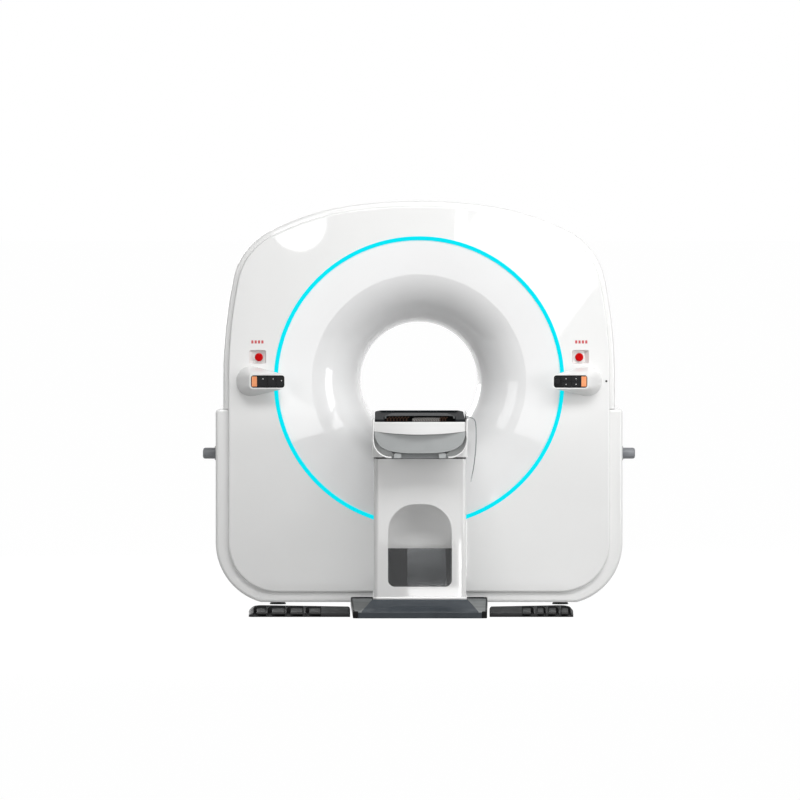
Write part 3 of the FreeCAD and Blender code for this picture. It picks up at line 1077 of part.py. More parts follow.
# ---- every piece ----------------------------------------------------------------------------------
def main():
    os.makedirs("parts", exist_ok=True)
    left_cover, right_cover = side_covers()
    pieces = {
        "gantry_frame": gantry_frame(), "main_bearing": main_bearing(),
        "top_cover": top_cover(), "side_cover_left": left_cover, "side_cover_right": right_cover,
        "front_cover": front_cover(), "rear_cover": rear_cover(),
        "light_ring": light_ring(), "front_funnel": front_funnel(), "rear_funnel": rear_funnel(),
        "bore_liner": bore_liner(), "scan_window": scan_window(),
        "rotor_drum": rotor_drum(), "slip_ring": slip_ring(), "xray_tube": xray_tube(),
        "detector": detector(), "generator": rotor_box(GENERATOR_DEGREES, GENERATOR_SIZE, GENERATOR_EDGE),
        "cooling_unit": cooling_unit(),
        "sensor_dot": sensor(), "knob": knob(),
        "table_base": table_base(), "column": column(), "pocket_panel": pocket_panel(),
        "lift_sleeve": lift_sleeve(), "couch_shell": couch_shell(),
        "couch_hull": couch_hull(), "hull_insert": hull_insert(),
        "cradle": cradle(), "cradle_mat": cradle_mat(), "end_cap": end_cap(),
        "lead_gland": gland(), "patient_lead": lead(), "lead_plug": lead_plug(),
    }
    for side, word in ((-1, "left"), (1, "right")):
        pieces["pod_" + word] = pod(side)
        pieces["keypad_" + word] = keypad(side)
        pieces["stop_button_" + word] = stop_button(side)
        pieces["side_peg_" + word] = side_peg(side)
        for field in key_fields(side):
            pieces["%s_%s" % (field[0], word)] = key(field)
    units = ((-1, "left", LEFT_UNIT, LEFT_PADS), (1, "right", RIGHT_UNIT, RIGHT_PADS))
    for side, word, length, pads in units:
        pieces["foot_switch_" + word] = pedal_housing(side, length, pads)
        for number, (x0, x1) in enumerate(pads, 1):
            pieces["pedal_%s_%d" % (word, number)] = pedal(side, x0, x1)
    for name, shape in pieces.items():
        save(name, shape)
    print(len(pieces), "pieces")


main()
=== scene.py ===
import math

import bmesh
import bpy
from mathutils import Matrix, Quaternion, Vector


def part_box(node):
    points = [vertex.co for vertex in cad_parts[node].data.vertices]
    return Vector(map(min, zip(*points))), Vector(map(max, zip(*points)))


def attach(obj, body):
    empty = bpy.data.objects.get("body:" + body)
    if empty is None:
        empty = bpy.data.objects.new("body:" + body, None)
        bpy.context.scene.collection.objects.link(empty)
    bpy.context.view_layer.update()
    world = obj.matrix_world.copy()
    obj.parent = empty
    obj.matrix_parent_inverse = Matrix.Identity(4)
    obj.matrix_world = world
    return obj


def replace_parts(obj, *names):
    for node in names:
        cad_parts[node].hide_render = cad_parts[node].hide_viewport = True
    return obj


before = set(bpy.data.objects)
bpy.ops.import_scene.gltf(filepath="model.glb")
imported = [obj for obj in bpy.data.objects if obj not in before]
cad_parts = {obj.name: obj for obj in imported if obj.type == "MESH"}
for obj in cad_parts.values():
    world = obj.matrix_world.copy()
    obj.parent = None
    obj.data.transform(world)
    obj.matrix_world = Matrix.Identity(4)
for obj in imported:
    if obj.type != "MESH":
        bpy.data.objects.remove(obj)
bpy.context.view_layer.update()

# %% [markdown]
# # A computed-tomography scanner
# The solids come from the CAD frame: a white gantry with a round bore, a patient table on a pedestal, two control
# pods and two foot switches. This notebook gives them their finishes, adds the soft and the small pieces, and sets
# up a pale studio. Lengths are in metres, X runs to the right, Y from the table into the bore, and Z is up.

# %% [markdown]
# ## The camera
# The photograph is taken from far away with a long lens: the bore's front and back rings nearly cover each other.
# The camera therefore stands 82 m in front of the gantry, 0.8 m above its top and 0.2 m to the left of its middle,
# and looks slightly down.

# %% Camera
scene = bpy.context.scene
STAND_OFF, EYE_HEIGHT, EYE_LEFT = 81.95, 2.737, -0.18
PITCH_DOWN, TURN_RIGHT = 1.212, 0.0608      # degrees
FOCAL_LENGTH, SIGHT_LIMIT = 766.0, 600.0    # millimetres, and metres
lens = bpy.data.cameras.new("studio_camera")
lens.lens = FOCAL_LENGTH
lens.clip_end = SIGHT_LIMIT
camera = bpy.data.objects.new("studio_camera", lens)
camera.location = (EYE_LEFT, -STAND_OFF, EYE_HEIGHT)
camera.rotation_euler = (math.radians(90 - PITCH_DOWN), 0, math.radians(-TURN_RIGHT))
scene.collection.objects.link(camera)
scene.camera = camera
scene.view_settings.view_transform = "Standard"
print("camera at", tuple(round(value, 2) for value in camera.location))

# %% [markdown]
# ## Two helpers for every finish
# Colours are written as the sRGB hex values that a paint card gives, and Blender mixes light in linear values, so
# one function turns the first into the second. Another adds a node with its settings and links in a single line.

# %% Colour and node helpers
def linear(hex_code, alpha=1.0):
    """An sRGB hex value as linear red, green, blue and alpha."""
    channels = [int(hex_code[i:i + 2], 16) / 255 for i in (0, 2, 4)]
    return [c / 12.92 if c <= 0.04045 else ((c + 0.055) / 1.055) ** 2.4 for c in channels] + [alpha]


def add_node(tree, kind, inputs=None, **settings):
    """One node of a tree, with its settings, and with its inputs linked to a socket or set to a value."""
    made = tree.nodes.new(kind)
    for name, value in settings.items():
        setattr(made, name, value)
    for socket, value in (inputs or {}).items():
        if isinstance(value, bpy.types.NodeSocket):
            tree.links.new(value, made.inputs[socket])
        else:
            made.inputs[socket].default_value = value
    return made


TINT_RANGE = (0.36, 0.64)     # the noise values between which the two colours blend
GLOSS_RANGE = (0.30, 0.70)    # and those between which the roughness drifts


def surface(name, colours, patch, roughness, grain, depth, **sockets):
    """An opaque finish: two close colours in soft patches, a roughness that drifts with them, and a fine grain.

    patch and grain are sizes in metres, depth is the height of the grain, and sockets are set as they are."""
    material = bpy.data.materials.new(name)
    material.use_nodes = True
    tree = material.node_tree
    shader = tree.nodes["Principled BSDF"]
    place = add_node(tree, "ShaderNodeTexCoord").outputs["Object"]
    drift = add_node(tree, "ShaderNodeTexNoise", {"Vector": place, "Scale": 1 / patch, "Detail": 3.0})
    tint = add_node(tree, "ShaderNodeValToRGB", {"Fac": drift.outputs["Fac"]})
    for element, spot, colour in zip(tint.color_ramp.elements, TINT_RANGE, colours):
        element.position = spot
        element.color = linear(colour)
    gloss = add_node(tree, "ShaderNodeMapRange", {"Value": drift.outputs["Fac"],
                                                  "From Min": GLOSS_RANGE[0], "From Max": GLOSS_RANGE[1],
                                                  "To Min": roughness[0], "To Max": roughness[1]})
    peel = add_node(tree, "ShaderNodeTexNoise", {"Vector": place, "Scale": 1 / grain, "Detail": 2.0})
    bump = add_node(tree, "ShaderNodeBump", {"Height": peel.outputs["Fac"], "Strength": 1.0, "Distance": depth})
    tree.links.new(tint.outputs["Color"], shader.inputs["Base Color"])
    tree.links.new(gloss.outputs["Result"], shader.inputs["Roughness"])
    tree.links.new(bump.outputs["Normal"], shader.inputs["Normal"])
    for socket, value in sockets.items():
        shader.inputs[socket.replace("_", " ")].default_value = value
    print("finish", name)
    return material


def dress(material, *names):
    """Gives CAD nodes a finish."""
    for name in names:
        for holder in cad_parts[name].material_slots:
            holder.material = material
    print(material.name, "on", ", ".join(names))

# %% [markdown]
# ## The patient lead
# A thin grey sensor lead hangs from a gland on the couch's right wall and ends in a slim pale connector. It could be
# a chain of short cylinders, but one NURBS spline with a round bevel bends without a kink and stays equally thick.
# Its control points, in millimetres, are the route of the CAD tube.

# %% Patient lead
MM = 0.001
LEAD_Y = -1.380
LEAD_DIAMETER = 0.005
LEAD_ROUTE = [(231.0, 951.0), (249.0, 948.5), (259.5, 938.0), (264.0, 922.0), (266.0, 893.0),
              (266.5, 848.0), (264.5, 800.0), (259.0, 748.0), (253.0, 706.0), (248.5, 682.0)]
lead_curve = bpy.data.curves.new("patient_lead_line", "CURVE")
lead_curve.dimensions = "3D"
lead_curve.bevel_depth = LEAD_DIAMETER / 2
lead_curve.bevel_resolution = 6
lead_curve.use_fill_caps = True
lead_curve.resolution_u = 12
line = lead_curve.splines.new("NURBS")
line.points.add(len(LEAD_ROUTE) - 1)
for point, (x, z) in zip(line.points, LEAD_ROUTE):
    point.co = (x * MM, LEAD_Y, z * MM, 1.0)
line.order_u = 3
line.use_endpoint_u = True
patient_lead = bpy.data.objects.new("patient_lead_line", lead_curve)
scene.collection.objects.link(patient_lead)
lead_jacket = surface("silicone_lead_jacket", ("7C8082", "8B8F91"), 0.02, (0.42, 0.55), 0.002, 0.00008,
                      Coat_Weight=0.15, Coat_Roughness=0.35)
lead_curve.materials.append(lead_jacket)
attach(patient_lead, "couch")
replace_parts(patient_lead, "patient_lead")

# %% [markdown]
# ## The studio
# The photograph's background is plain white. A curved backdrop could give that, but its fold would show from the
# other views, so a wide pale floor meets a white world far away. Both look white to the camera and in reflections
# alone: the light that reaches the machine comes from a dim sky and six soft boxes, one of them behind it.

# %% World
SKY_LEVEL = 0.14          # the dim sky's share of the white one


def seen_directly(tree):
    """One for a ray from the eye, a mirror or a pane, and nothing for a ray of scattered light."""
    ray = add_node(tree, "ShaderNodeLightPath")
    both = add_node(tree, "ShaderNodeMath", {0: ray.outputs["Is Camera Ray"], 1: ray.outputs["Is Glossy Ray"]},
                    operation="ADD")
    return add_node(tree, "ShaderNodeMath", {0: both.outputs[0], 1: ray.outputs["Is Transmission Ray"]},
                    operation="ADD", use_clamp=True).outputs[0]


world = bpy.data.worlds.new("white_room")
scene.world = world
world.use_nodes = True
sky = world.node_tree
sky.nodes.clear()
dim = add_node(sky, "ShaderNodeBackground", {"Color": linear("FFFFFF"), "Strength": SKY_LEVEL})
white = add_node(sky, "ShaderNodeBackground", {"Color": linear("FFFFFF"), "Strength": 1.0})
choice = add_node(sky, "ShaderNodeMixShader", {0: seen_directly(sky), 1: dim.outputs[0], 2: white.outputs[0]})
add_node(sky, "ShaderNodeOutputWorld", {"Surface": choice.outputs[0]})
print("sky at", SKY_LEVEL, "of the white the camera sees")

# %% Floor
FLOOR_REACH = 150.0
SHADOW_SHARE = 0.18       # how much of the floor's shading the eye sees
FLOOR_GLOW = 1.20
floor_mesh = bpy.data.meshes.new("studio_floor")
floor_mesh.from_pydata([(-FLOOR_REACH, -FLOOR_REACH, 0), (FLOOR_REACH, -FLOOR_REACH, 0),
                        (FLOOR_REACH, FLOOR_REACH, 0), (-FLOOR_REACH, FLOOR_REACH, 0)], [], [(0, 1, 2, 3)])
studio_floor = bpy.data.objects.new("studio_floor", floor_mesh)
scene.collection.objects.link(studio_floor)
floor_paint = bpy.data.materials.new("white_studio_floor")
floor_paint.use_nodes = True
paint = floor_paint.node_tree
paint.nodes.clear()
matte = add_node(paint, "ShaderNodeBsdfDiffuse", {"Color": linear("A6A6A6")})
glow = add_node(paint, "ShaderNodeEmission", {"Strength": FLOOR_GLOW})
lit = add_node(paint, "ShaderNodeMixShader", {0: SHADOW_SHARE, 1: glow.outputs[0], 2: matte.outputs[0]})
floor_choice = add_node(paint, "ShaderNodeMixShader", {0: seen_directly(paint), 1: matte.outputs[0],
                                                       2: lit.outputs[0]})
add_node(paint, "ShaderNodeOutputMaterial", {"Surface": floor_choice.outputs[0]})
floor_mesh.materials.append(floor_paint)
print("floor", 2 * FLOOR_REACH, "m across")

# %% Soft boxes
def soft_box(name, place, aim, size, watts, shape="RECTANGLE", turn=0.0):
    """An area light that looks from its place at an aim, turned about its own axis by some degrees."""
    lamp = bpy.data.lights.new(name, "AREA")
    lamp.shape = shape
    lamp.size, lamp.size_y = size
    lamp.energy = watts
    made = bpy.data.objects.new(name, lamp)
    made.location = place
    direction = (Vector(aim) - Vector(place)).to_track_quat("-Z", "Y")
    made.rotation_euler = (direction @ Quaternion((0, 0, 1), math.radians(turn))).to_euler()
    scene.collection.objects.link(made)
    print(name, watts, "W")
    return made


soft_box("key_box_right", (3.6, -3.4, 4.0), (0.2, 0.2, 1.2), (2.6, 3.2), 82)
soft_box("high_box_right", (2.4, -3.6, 5.4), (0.2, 0.0, 1.2), (2.0, 2.0), 63)
soft_box("high_box_front", (0.0, -4.5, 6.0), (0.0, 0.0, 1.0), (3.0, 2.0), 188)
soft_box("low_box_right", (5.5, -4.0, 1.4), (0.0, 0.0, 0.9), (2.0, 2.4), 100)
soft_box("fill_box_left", (-5.0, -5.0, 2.4), (0.0, 0.0, 0.9), (3.0, 3.0), 62)
soft_box("back_box", (-3.0, 7.0, 2.6), (0.0, 1.4, 1.0), (3.0, 3.0), 150)

# %% [markdown]
# ### Reflection cards
# Gloss shows only by what it reflects. Five bright cards stand four metres in front of the face. They light nothing,
# and the lens looks past their backs, but the clear coat mirrors them: a slanting band at the upper right, a round
# patch at the upper left, a disc that fills the funnel's dished rim and ends where its flare begins, and two
# stripes that brighten the pedestal's right edge and its foot.

# %% Reflection cards
CARD_Y, CARD_FACE = -3.5, 0.5     # where the cards stand, and the face that mirrors them
CARD_GROWTH = (CARD_FACE - CARD_Y) / (STAND_OFF + CARD_FACE)


def card(name, x, z, size, watts, shape, turn=0.0):
    """A card whose image appears at (x, z) on the machine's face, by mirroring the line of sight there."""
    place = (x + (x - EYE_LEFT) * CARD_GROWTH, CARD_Y, z + (z - EYE_HEIGHT) * CARD_GROWTH)
    made = soft_box(name, place, (place[0], CARD_FACE, place[2]), size, watts, shape, turn)
    made.visible_diffuse = False
    made.visible_camera = False


card("slanting_card", 0.565, 1.711, (0.70, 1.22), 9.5, "RECTANGLE", -37)
card("round_card", -0.583, 1.846, (0.28, 0.28), 1.2, "DISK")
card("funnel_card", 0.0, 1.082, (1.46, 1.46), 11, "DISK")
card("column_edge_card", 0.2030, 1.000, (0.052, 1.90), 5.0, "RECTANGLE")
card("column_foot_card", 0.076, 0.167, (0.28, 0.055), 0.45, "RECTANGLE")

# %% [markdown]
# ## Painted and moulded covers
# The gantry's covers and the pedestal are moulded polyurethane under a clear-coated white enamel; the couch's is
# plain satin. The eye sees a clean white with broad reflections, a faint drift of gloss, and the slight waviness of
# sprayed paint. Real spray texture is about 2 mm across, too fine for this view, so it is drawn at 9 mm and shallow.

# %% Cover finishes
cover_enamel = surface("gloss_enamel_cover", ("EDEDEC", "F1F1F0"), 0.7, (0.30, 0.38), 0.009, 0.00001,
                       IOR=1.5, Coat_Weight=1.0, Coat_Roughness=0.03)
funnel_enamel = surface("gloss_funnel_enamel", ("EDEDED", "F1F1F1"), 0.5, (0.36, 0.44), 0.009, 0.00001,
                        IOR=1.5, Coat_Weight=1.0, Coat_Roughness=0.03)
table_enamel = surface("satin_table_enamel", ("EDEDEC", "F1F1F0"), 0.4, (0.34, 0.42), 0.009, 0.00002,
                       Specular_IOR_Level=0.25, Coat_Weight=0.1, Coat_Roughness=0.2)
# painted shade: the pedestal's enamel is a greyer copy of the white, which darkens it as the couch's shadow does
column_enamel_greyed_for_shade = surface("gloss_column_enamel_painted_shade", ("E0E0DF", "E4E4E3"), 0.4, (0.36, 0.44), 0.009, 0.00001,
                        Specular_IOR_Level=0.0, Coat_Weight=1.0, Coat_Roughness=0.05)
dress(cover_enamel, "top_cover", "side_cover_left", "side_cover_right", "front_cover", "rear_cover", "pod_left",
      "pod_right")
dress(table_enamel, "couch_shell", "end_cap")
dress(column_enamel_greyed_for_shade, "column")
dress(funnel_enamel, "front_funnel", "rear_funnel", "bore_liner")

# %% [markdown]
# ## The lit ring
# A ring of frosted polycarbonate in front of cyan light diodes: an even, saturated glow with hardly any structure.
# Lamps behind a frosted pane would take far more samples, so the diffuser itself glows.

# %% Ring light
RING_GLOW = 0.92
ring_glow = surface("frosted_cyan_diffuser", ("03404A", "04464F"), 0.05, (0.45, 0.5), 0.004, 0.00005,
                    Specular_IOR_Level=0.0)
ring_shader = ring_glow.node_tree.nodes["Principled BSDF"]
ring_shader.inputs["Emission Color"].default_value = linear("08EAF8")
ring_shader.inputs["Emission Strength"].default_value = RING_GLOW
dress(ring_glow, "light_ring")

# %% [markdown]
# ## Hidden machinery
# The frame is black powder coat, the bearing ground steel, the drum cast aluminium, the modules grey sheet metal.
# They show only when a cover is hidden, so one plain finish each, with its true metal or paint, is enough.

# %% Inner finishes
powder_black = surface("black_powder_coat", ("1B1C1D", "242526"), 0.2, (0.5, 0.62), 0.003, 0.0001)
ground_steel = surface("ground_bearing_steel", ("9A9C9E", "A8AAAC"), 0.1, (0.22, 0.32), 0.002, 0.00002,
                       Metallic=1.0)
cast_aluminium = surface("cast_aluminium", ("A9ABAD", "B7B9BB"), 0.08, (0.38, 0.52), 0.003, 0.0001, Metallic=1.0)
module_paint = surface("grey_module_paint", ("8E9295", "999DA0"), 0.2, (0.45, 0.55), 0.003, 0.00005)
window_film = surface("dark_window_film", ("26292B", "2E3133"), 0.2, (0.2, 0.3), 0.003, 0.00002)
dress(powder_black, "gantry_frame")
dress(ground_steel, "main_bearing")
dress(cast_aluminium, "rotor_drum", "slip_ring")
dress(module_paint, "xray_tube", "detector", "generator", "cooling_unit")
dress(window_film, "scan_window")

# %% [markdown]
# ## Controls
# Each pod carries a black rubberised pad with soft-touch keys, one of them amber, and a stop button of glossy red
# plastic sits in a niche above it. A picture could carry their skins, but a procedural grain stays sharp when one
# looks close.

# %% Control finishes
pad_skin = surface("soft_touch_black", ("0A0B0C", "0F1011"), 0.03, (0.42, 0.5), 0.003, 0.00005,
                   Specular_IOR_Level=0.15)
key_skin = surface("matte_key_black", ("171819", "1D1E1F"), 0.03, (0.38, 0.46), 0.003, 0.00005,
                   Specular_IOR_Level=0.15)
amber_skin = surface("amber_silicone", ("FF9A62", "FFA670"), 0.02, (0.38, 0.46), 0.003, 0.00003,
                     Subsurface_Weight=0.1)
red_cap = surface("gloss_red_plastic", ("C8060A", "D20A0E"), 0.03, (0.3, 0.36), 0.003, 0.00002,
                  Specular_IOR_Level=0.0, Coat_Weight=0.1, Coat_Roughness=0.08)
dress(pad_skin, "keypad_left", "keypad_right", "sensor_dot")
dress(key_skin, "knob", "key_1_left", "key_2_left", "key_3_left", "key_1_right", "key_2_right", "key_3_right",
      "key_4_right")
dress(amber_skin, "amber_key_left", "amber_key_right")
dress(red_cap, "stop_button_left", "stop_button_right")

# %% [markdown]
# ## Table, tray and foot switches
# The floor plate is steel in a glossy graphite paint, the hull under the tray grey moulded plastic, and the tray
# black carbon fibre under clear lacquer. The foot switches get their rubber later, with their shapes. Dirt and wear
# could be added, but the machine is new and clean, so its finishes only drift a little in colour and gloss.

# %% Table finishes
graphite = surface("gloss_graphite_paint", ("3A3F44", "484D52"), 0.3, (0.26, 0.36), 0.004, 0.00004,
                   Specular_IOR_Level=0.0, Coat_Weight=0.30, Coat_Roughness=0.1)
insert_plastic = surface("dark_grey_moulded_insert", ("8A8D8E", "939697"), 0.12, (0.45, 0.55), 0.003, 0.00006,
                         Specular_IOR_Level=0.2)
peg_plastic = surface("grey_moulded_peg", ("85878B", "909297"), 0.03, (0.35, 0.45), 0.003, 0.00005)
hull_plastic = surface("grey_moulded_hull", ("9B9E9E", "A3A6A6"), 0.15, (0.42, 0.52), 0.003, 0.00006)
carbon_lacquer = surface("lacquered_carbon", ("121517", "1C2023"), 0.05, (0.24, 0.34), 0.004, 0.00006,
                         Specular_IOR_Level=0.0, Coat_Weight=0.09, Coat_Roughness=0.12)
plug_plastic = surface("pale_connector_plastic", ("B9BCBD", "C6C9CA"), 0.02, (0.35, 0.45), 0.002, 0.00003)
# painted light: the couch's hull gets a lighter copy of the hull's grey plastic, which lifts the shade in its corners
hull_plastic_lightened_for_shade = surface("grey_hull_lightened_for_shade", ("B9BBBB", "C2C4C4"), 0.15, (0.42, 0.52), 0.003, 0.00006)
seal_rubber = surface("black_seal_rubber", ("070708", "0C0C0D"), 0.03, (0.5, 0.6), 0.002, 0.00005,
                      Specular_IOR_Level=0.1)
dress(hull_plastic, "lead_gland")
dress(hull_plastic_lightened_for_shade, "couch_hull")
dress(insert_plastic, "hull_insert")
dress(carbon_lacquer, "cradle")
dress(peg_plastic, "side_peg_left", "side_peg_right")
dress(plug_plastic, "lead_plug")
# painted shade: the steel lift sleeve gets black powder coat, which darkens the gap between column and couch
dress(powder_black, "lift_sleeve")

# %% [markdown]
# ### The smoked pane
# The pane in front of the pocket is cast acrylic with a grey dye. It could be a half-transparent paint, but a finish
# that transmits light keeps its polish and darkens what lies behind it, as the dye does.

# %% Smoked pane
smoke = surface("smoked_acrylic", ("7A7C7E", "808284"), 0.2, (0.03, 0.06), 0.02, 0.00001, IOR=1.49,
                Transmission_Weight=0.92)
dress(smoke, "pocket_panel")

# %% [markdown]
# ## A relief from a height rule
# The mat, the floor plate's cover, the foot switches and their pads are shallow forms that lie on something. Each
# could be sculpted by hand, but a rule that gives the height at every spot keeps the real sizes. One helper turns
# such a rule into a closed mesh: a skin over a grid, the same grid below, and a wall all round.

# %% Relief and edge helpers
SHARP_ANGLE = math.radians(38)    # a bend past this stays a crease
WIDE_FLAT = 0.0005                # square metres: a wide flat face keeps its own shade beside a rounded edge


def mount(name, data, body):
    """A mesh as a piece that rides on a body."""
    piece = bpy.data.objects.new(name, data)
    scene.collection.objects.link(piece)
    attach(piece, body)
    print(name, len(data.polygons), "faces on", body)
    return piece


def finished(name, mesh, materials, body):
    """A mesh as a piece: smooth but for sharp edges and wide flats, facing outward, with its finishes, on a body."""
    bmesh.ops.recalc_face_normals(mesh, faces=mesh.faces)
    for edge in mesh.edges:
        edge.smooth = edge.calc_face_angle(0.0) < SHARP_ANGLE
    for face in mesh.faces:
        face.smooth = face.calc_area() < WIDE_FLAT
    data = bpy.data.meshes.new(name)
    mesh.to_mesh(data)
    mesh.free()
    for material in materials:
        data.materials.append(material)
    return mount(name, data, body)


def relief(us, vs, spot, top, bottom):
    """A closed bmesh over a grid: spot turns (u, v) into (x, y), top and bottom give the two heights."""
    mesh = bmesh.new()
    upper = [[mesh.verts.new((*spot(u, v), top(u, v))) for v in vs] for u in us]
    lower = [[mesh.verts.new((*spot(u, v), bottom(u, v))) for v in vs] for u in us]
    last_u, last_v = len(us) - 1, len(vs) - 1
    for i in range(last_u):
        for j in range(last_v):
            mesh.faces.new((upper[i][j], upper[i + 1][j], upper[i + 1][j + 1], upper[i][j + 1]))
            mesh.faces.new((lower[i][j + 1], lower[i + 1][j + 1], lower[i + 1][j], lower[i][j]))
    rim = [(i, 0) for i in range(last_u)] + [(last_u, j) for j in range(last_v)]
    rim += [(i, last_v) for i in range(last_u, 0, -1)] + [(0, j) for j in range(last_v, 0, -1)]
    for (a, b), (c, d) in zip(rim, rim[1:] + rim[:1]):
        mesh.faces.new((upper[a][b], lower[a][b], lower[c][d], upper[c][d]))
    return mesh


def steps(start, end, count):
    """Evenly spaced values from start to end, with both of them."""
    return [start + (end - start) * i / count for i in range(count + 1)]

# %% [markdown]
# ## Growing repeats with Geometry Nodes
# Ribs, edgings, printed bars and screws repeat by a rule. They could be copied in a loop, but a node tree keeps the
# rule in one place with named sizes. Each tree is given its sizes by the identifiers of its inputs, evaluated once,
# and turned into a plain mesh, because instances don't survive the export.

# %% Geometry Nodes helpers
def new_tree(name, **inputs):
    """A geometry tree with inputs of given names and kinds, still empty, and its input node."""
    tree = bpy.data.node_groups.new(name, "GeometryNodeTree")
    tree.interface.new_socket(name="Geometry", in_out="INPUT", socket_type="NodeSocketGeometry")
    for title, kind in inputs.items():
        tree.interface.new_socket(name=title.replace("_", " "), in_out="INPUT", socket_type="NodeSocket" + kind)
    tree.interface.new_socket(name="Geometry", in_out="OUTPUT", socket_type="NodeSocketGeometry")
    return tree, tree.nodes.new("NodeGroupInput")


def close_tree(tree, geometry, material):
    """The end of every tree: real geometry in place of instances, then its finish, a material or a socket."""
    real = add_node(tree, "GeometryNodeRealizeInstances", {"Geometry": geometry})
    painted = add_node(tree, "GeometryNodeSetMaterial", {"Geometry": real.outputs["Geometry"],
                                                        "Material": material})
    tree.links.new(painted.outputs["Geometry"], tree.nodes.new("NodeGroupOutput").inputs["Geometry"])


def grow(name, tree, points, edges, sizes, body):
    """Runs a tree on seed points and edges, and keeps the result as a plain mesh on a body."""
    source = bpy.data.meshes.new(name + "_seeds")
    source.from_pydata(points, edges, [])
    holder = bpy.data.objects.new(name + "_seeds", source)
    scene.collection.objects.link(holder)
    modifier = holder.modifiers.new("grow", "NODES")
    modifier.node_group = tree
    for item in tree.interface.items_tree:
        if item.in_out == "INPUT" and item.name in sizes:
            modifier[item.identifier] = sizes[item.name]
    graph = bpy.context.evaluated_depsgraph_get()
    data = bpy.data.meshes.new_from_object(holder.evaluated_get(graph))
    data.name = name
    bpy.data.objects.remove(holder)
    return mount(name, data, body)

# %% [markdown]
# ## The mat in the tray
# The recess in the tray holds a thin positioning mat: a dark vinyl cover with sewn channels that run lengthwise and
# a little askew, a grey woven panel between them, and a grey binding round its edge. It is a padded piece, so its
# top is crowned and its edges are rolled. A cloth simulation would hardly move a pad 10 mm thick, so a height rule
# shapes it, and its channels are swept ribs from a node tree.

# %% Mat: outline and body
MAT_NEAR, MAT_FAR, MAT_NECK = -1.333, -0.450, -0.507
MAT_HALF, MAT_FAR_HALF = 0.170, 0.168
MAT_NEAR_CORNER, MAT_FAR_CORNER = 0.010, 0.058
MAT_LOW, MAT_TOP = 0.9271, 0.9372
MAT_ROLL = 0.012                      # width of the rolled edge
MAT_EDGE, MAT_CROWN = 0.35, 0.06      # shares of the thickness: left at the very edge, and lost towards the sides
MAT_ROWS, MAT_COLUMNS = 140, 48


def mat_half_width(y):
    """Half the mat's width at depth y, with its rounded corners."""
    share = min(max((y - MAT_NECK) / (MAT_FAR - MAT_NECK), 0.0), 1.0)
    half = MAT_HALF + (MAT_FAR_HALF - MAT_HALF) * share
    for edge, corner in ((y - MAT_NEAR, MAT_NEAR_CORNER), (MAT_FAR - y, MAT_FAR_CORNER)):
        if edge < corner:
            half -= corner - math.sqrt(max(corner ** 2 - (corner - edge) ** 2, 0.0))
    return half


def rolled(distance):
    """How much of the full height is left at a distance from the edge."""
    return math.sqrt(max(1 - (1 - min(distance / MAT_ROLL, 1.0)) ** 2, 0.0))


def mat_height(v, y):
    """The mat's top at a share v of its half width: rolled at the edges and crowned in the middle."""
    edge = rolled(mat_half_width(y) * (1 - abs(v))) * rolled(min(y - MAT_NEAR, MAT_FAR - y))
    crown = 1 - MAT_CROWN * v ** 2
    return MAT_LOW + (MAT_TOP - MAT_LOW) * (MAT_EDGE + (1 - MAT_EDGE) * edge) * crown


mat_vinyl = surface("black_mat_vinyl", ("060606", "0C0C0C"), 0.03, (0.55, 0.7), 0.0015, 0.00008,
                    Specular_IOR_Level=0.0)
mat_rows = [MAT_NEAR + (MAT_FAR - MAT_NEAR) * 0.5 * (1 - math.cos(a)) for a in steps(0, math.pi, MAT_ROWS)]
mat_across = [math.sin(math.pi / 2 * v) for v in steps(-1, 1, MAT_COLUMNS)]
tray_mat = finished("tray_mat",
                    relief(mat_across, mat_rows, lambda v, y: (v * mat_half_width(y), y), mat_height,
                           lambda v, y: MAT_LOW), [mat_vinyl], "tray")
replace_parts(tray_mat, "cradle_mat")

# %% [markdown]
# ### Sewn channels
# A channel is a half-round rib. The tree lays one rib from a start to an end, sets copies of it side by side, and
# makes them real, so its width, height, reach, slant, number and pitch are six numbers to play with.

# %% Mat: the channels' tree
MAT_SLANT, MAT_SLANT_RUN = 0.012, 0.640     # how far the channels lean, and over what length
CHANNEL_START, CHANNEL_SINK, CHANNEL_WIDTH, CHANNEL_HEIGHT = 0.020, 0.0004, 0.0080, 0.0022
CHANNEL_SETS = (("left", -0.1540, 7, 0.0150, 1.0),      # first X, number, pitch, and share of the full run
                ("right", 0.0960, 3, 0.0120, 0.9))
ROUND_SIDES = 12                            # of every swept section
ribs_tree, ribs_in = new_tree("lengthwise_ribs", Width="Float", Height="Float", Reach="Float", Askew="Float",
                              Count="Int", Pitch="Float")
rib_end = add_node(ribs_tree, "ShaderNodeCombineXYZ", {"X": ribs_in.outputs["Askew"], "Y": ribs_in.outputs["Reach"]})
rib_axis = add_node(ribs_tree, "GeometryNodeCurvePrimitiveLine", {"End": rib_end.outputs["Vector"]})
rib_half = add_node(ribs_tree, "ShaderNodeMath", {0: ribs_in.outputs["Width"], 1: 0.5}, operation="MULTIPLY")
rib_round = add_node(ribs_tree, "GeometryNodeCurvePrimitiveCircle", {"Resolution": ROUND_SIDES,
                                                                    "Radius": rib_half.outputs[0]})
rib_tube = add_node(ribs_tree, "GeometryNodeCurveToMesh", {"Curve": rib_axis.outputs["Curve"],
                                                          "Profile Curve": rib_round.outputs["Curve"],
                                                          "Fill Caps": True})
rib_share = add_node(ribs_tree, "ShaderNodeMath", {0: ribs_in.outputs["Height"], 1: rib_half.outputs[0]},
                     operation="DIVIDE")
rib_scale = add_node(ribs_tree, "ShaderNodeCombineXYZ", {"X": 1.0, "Y": 1.0, "Z": rib_share.outputs[0]})
rib_low = add_node(ribs_tree, "GeometryNodeTransform", {"Geometry": rib_tube.outputs["Mesh"],
                                                       "Scale": rib_scale.outputs["Vector"]})
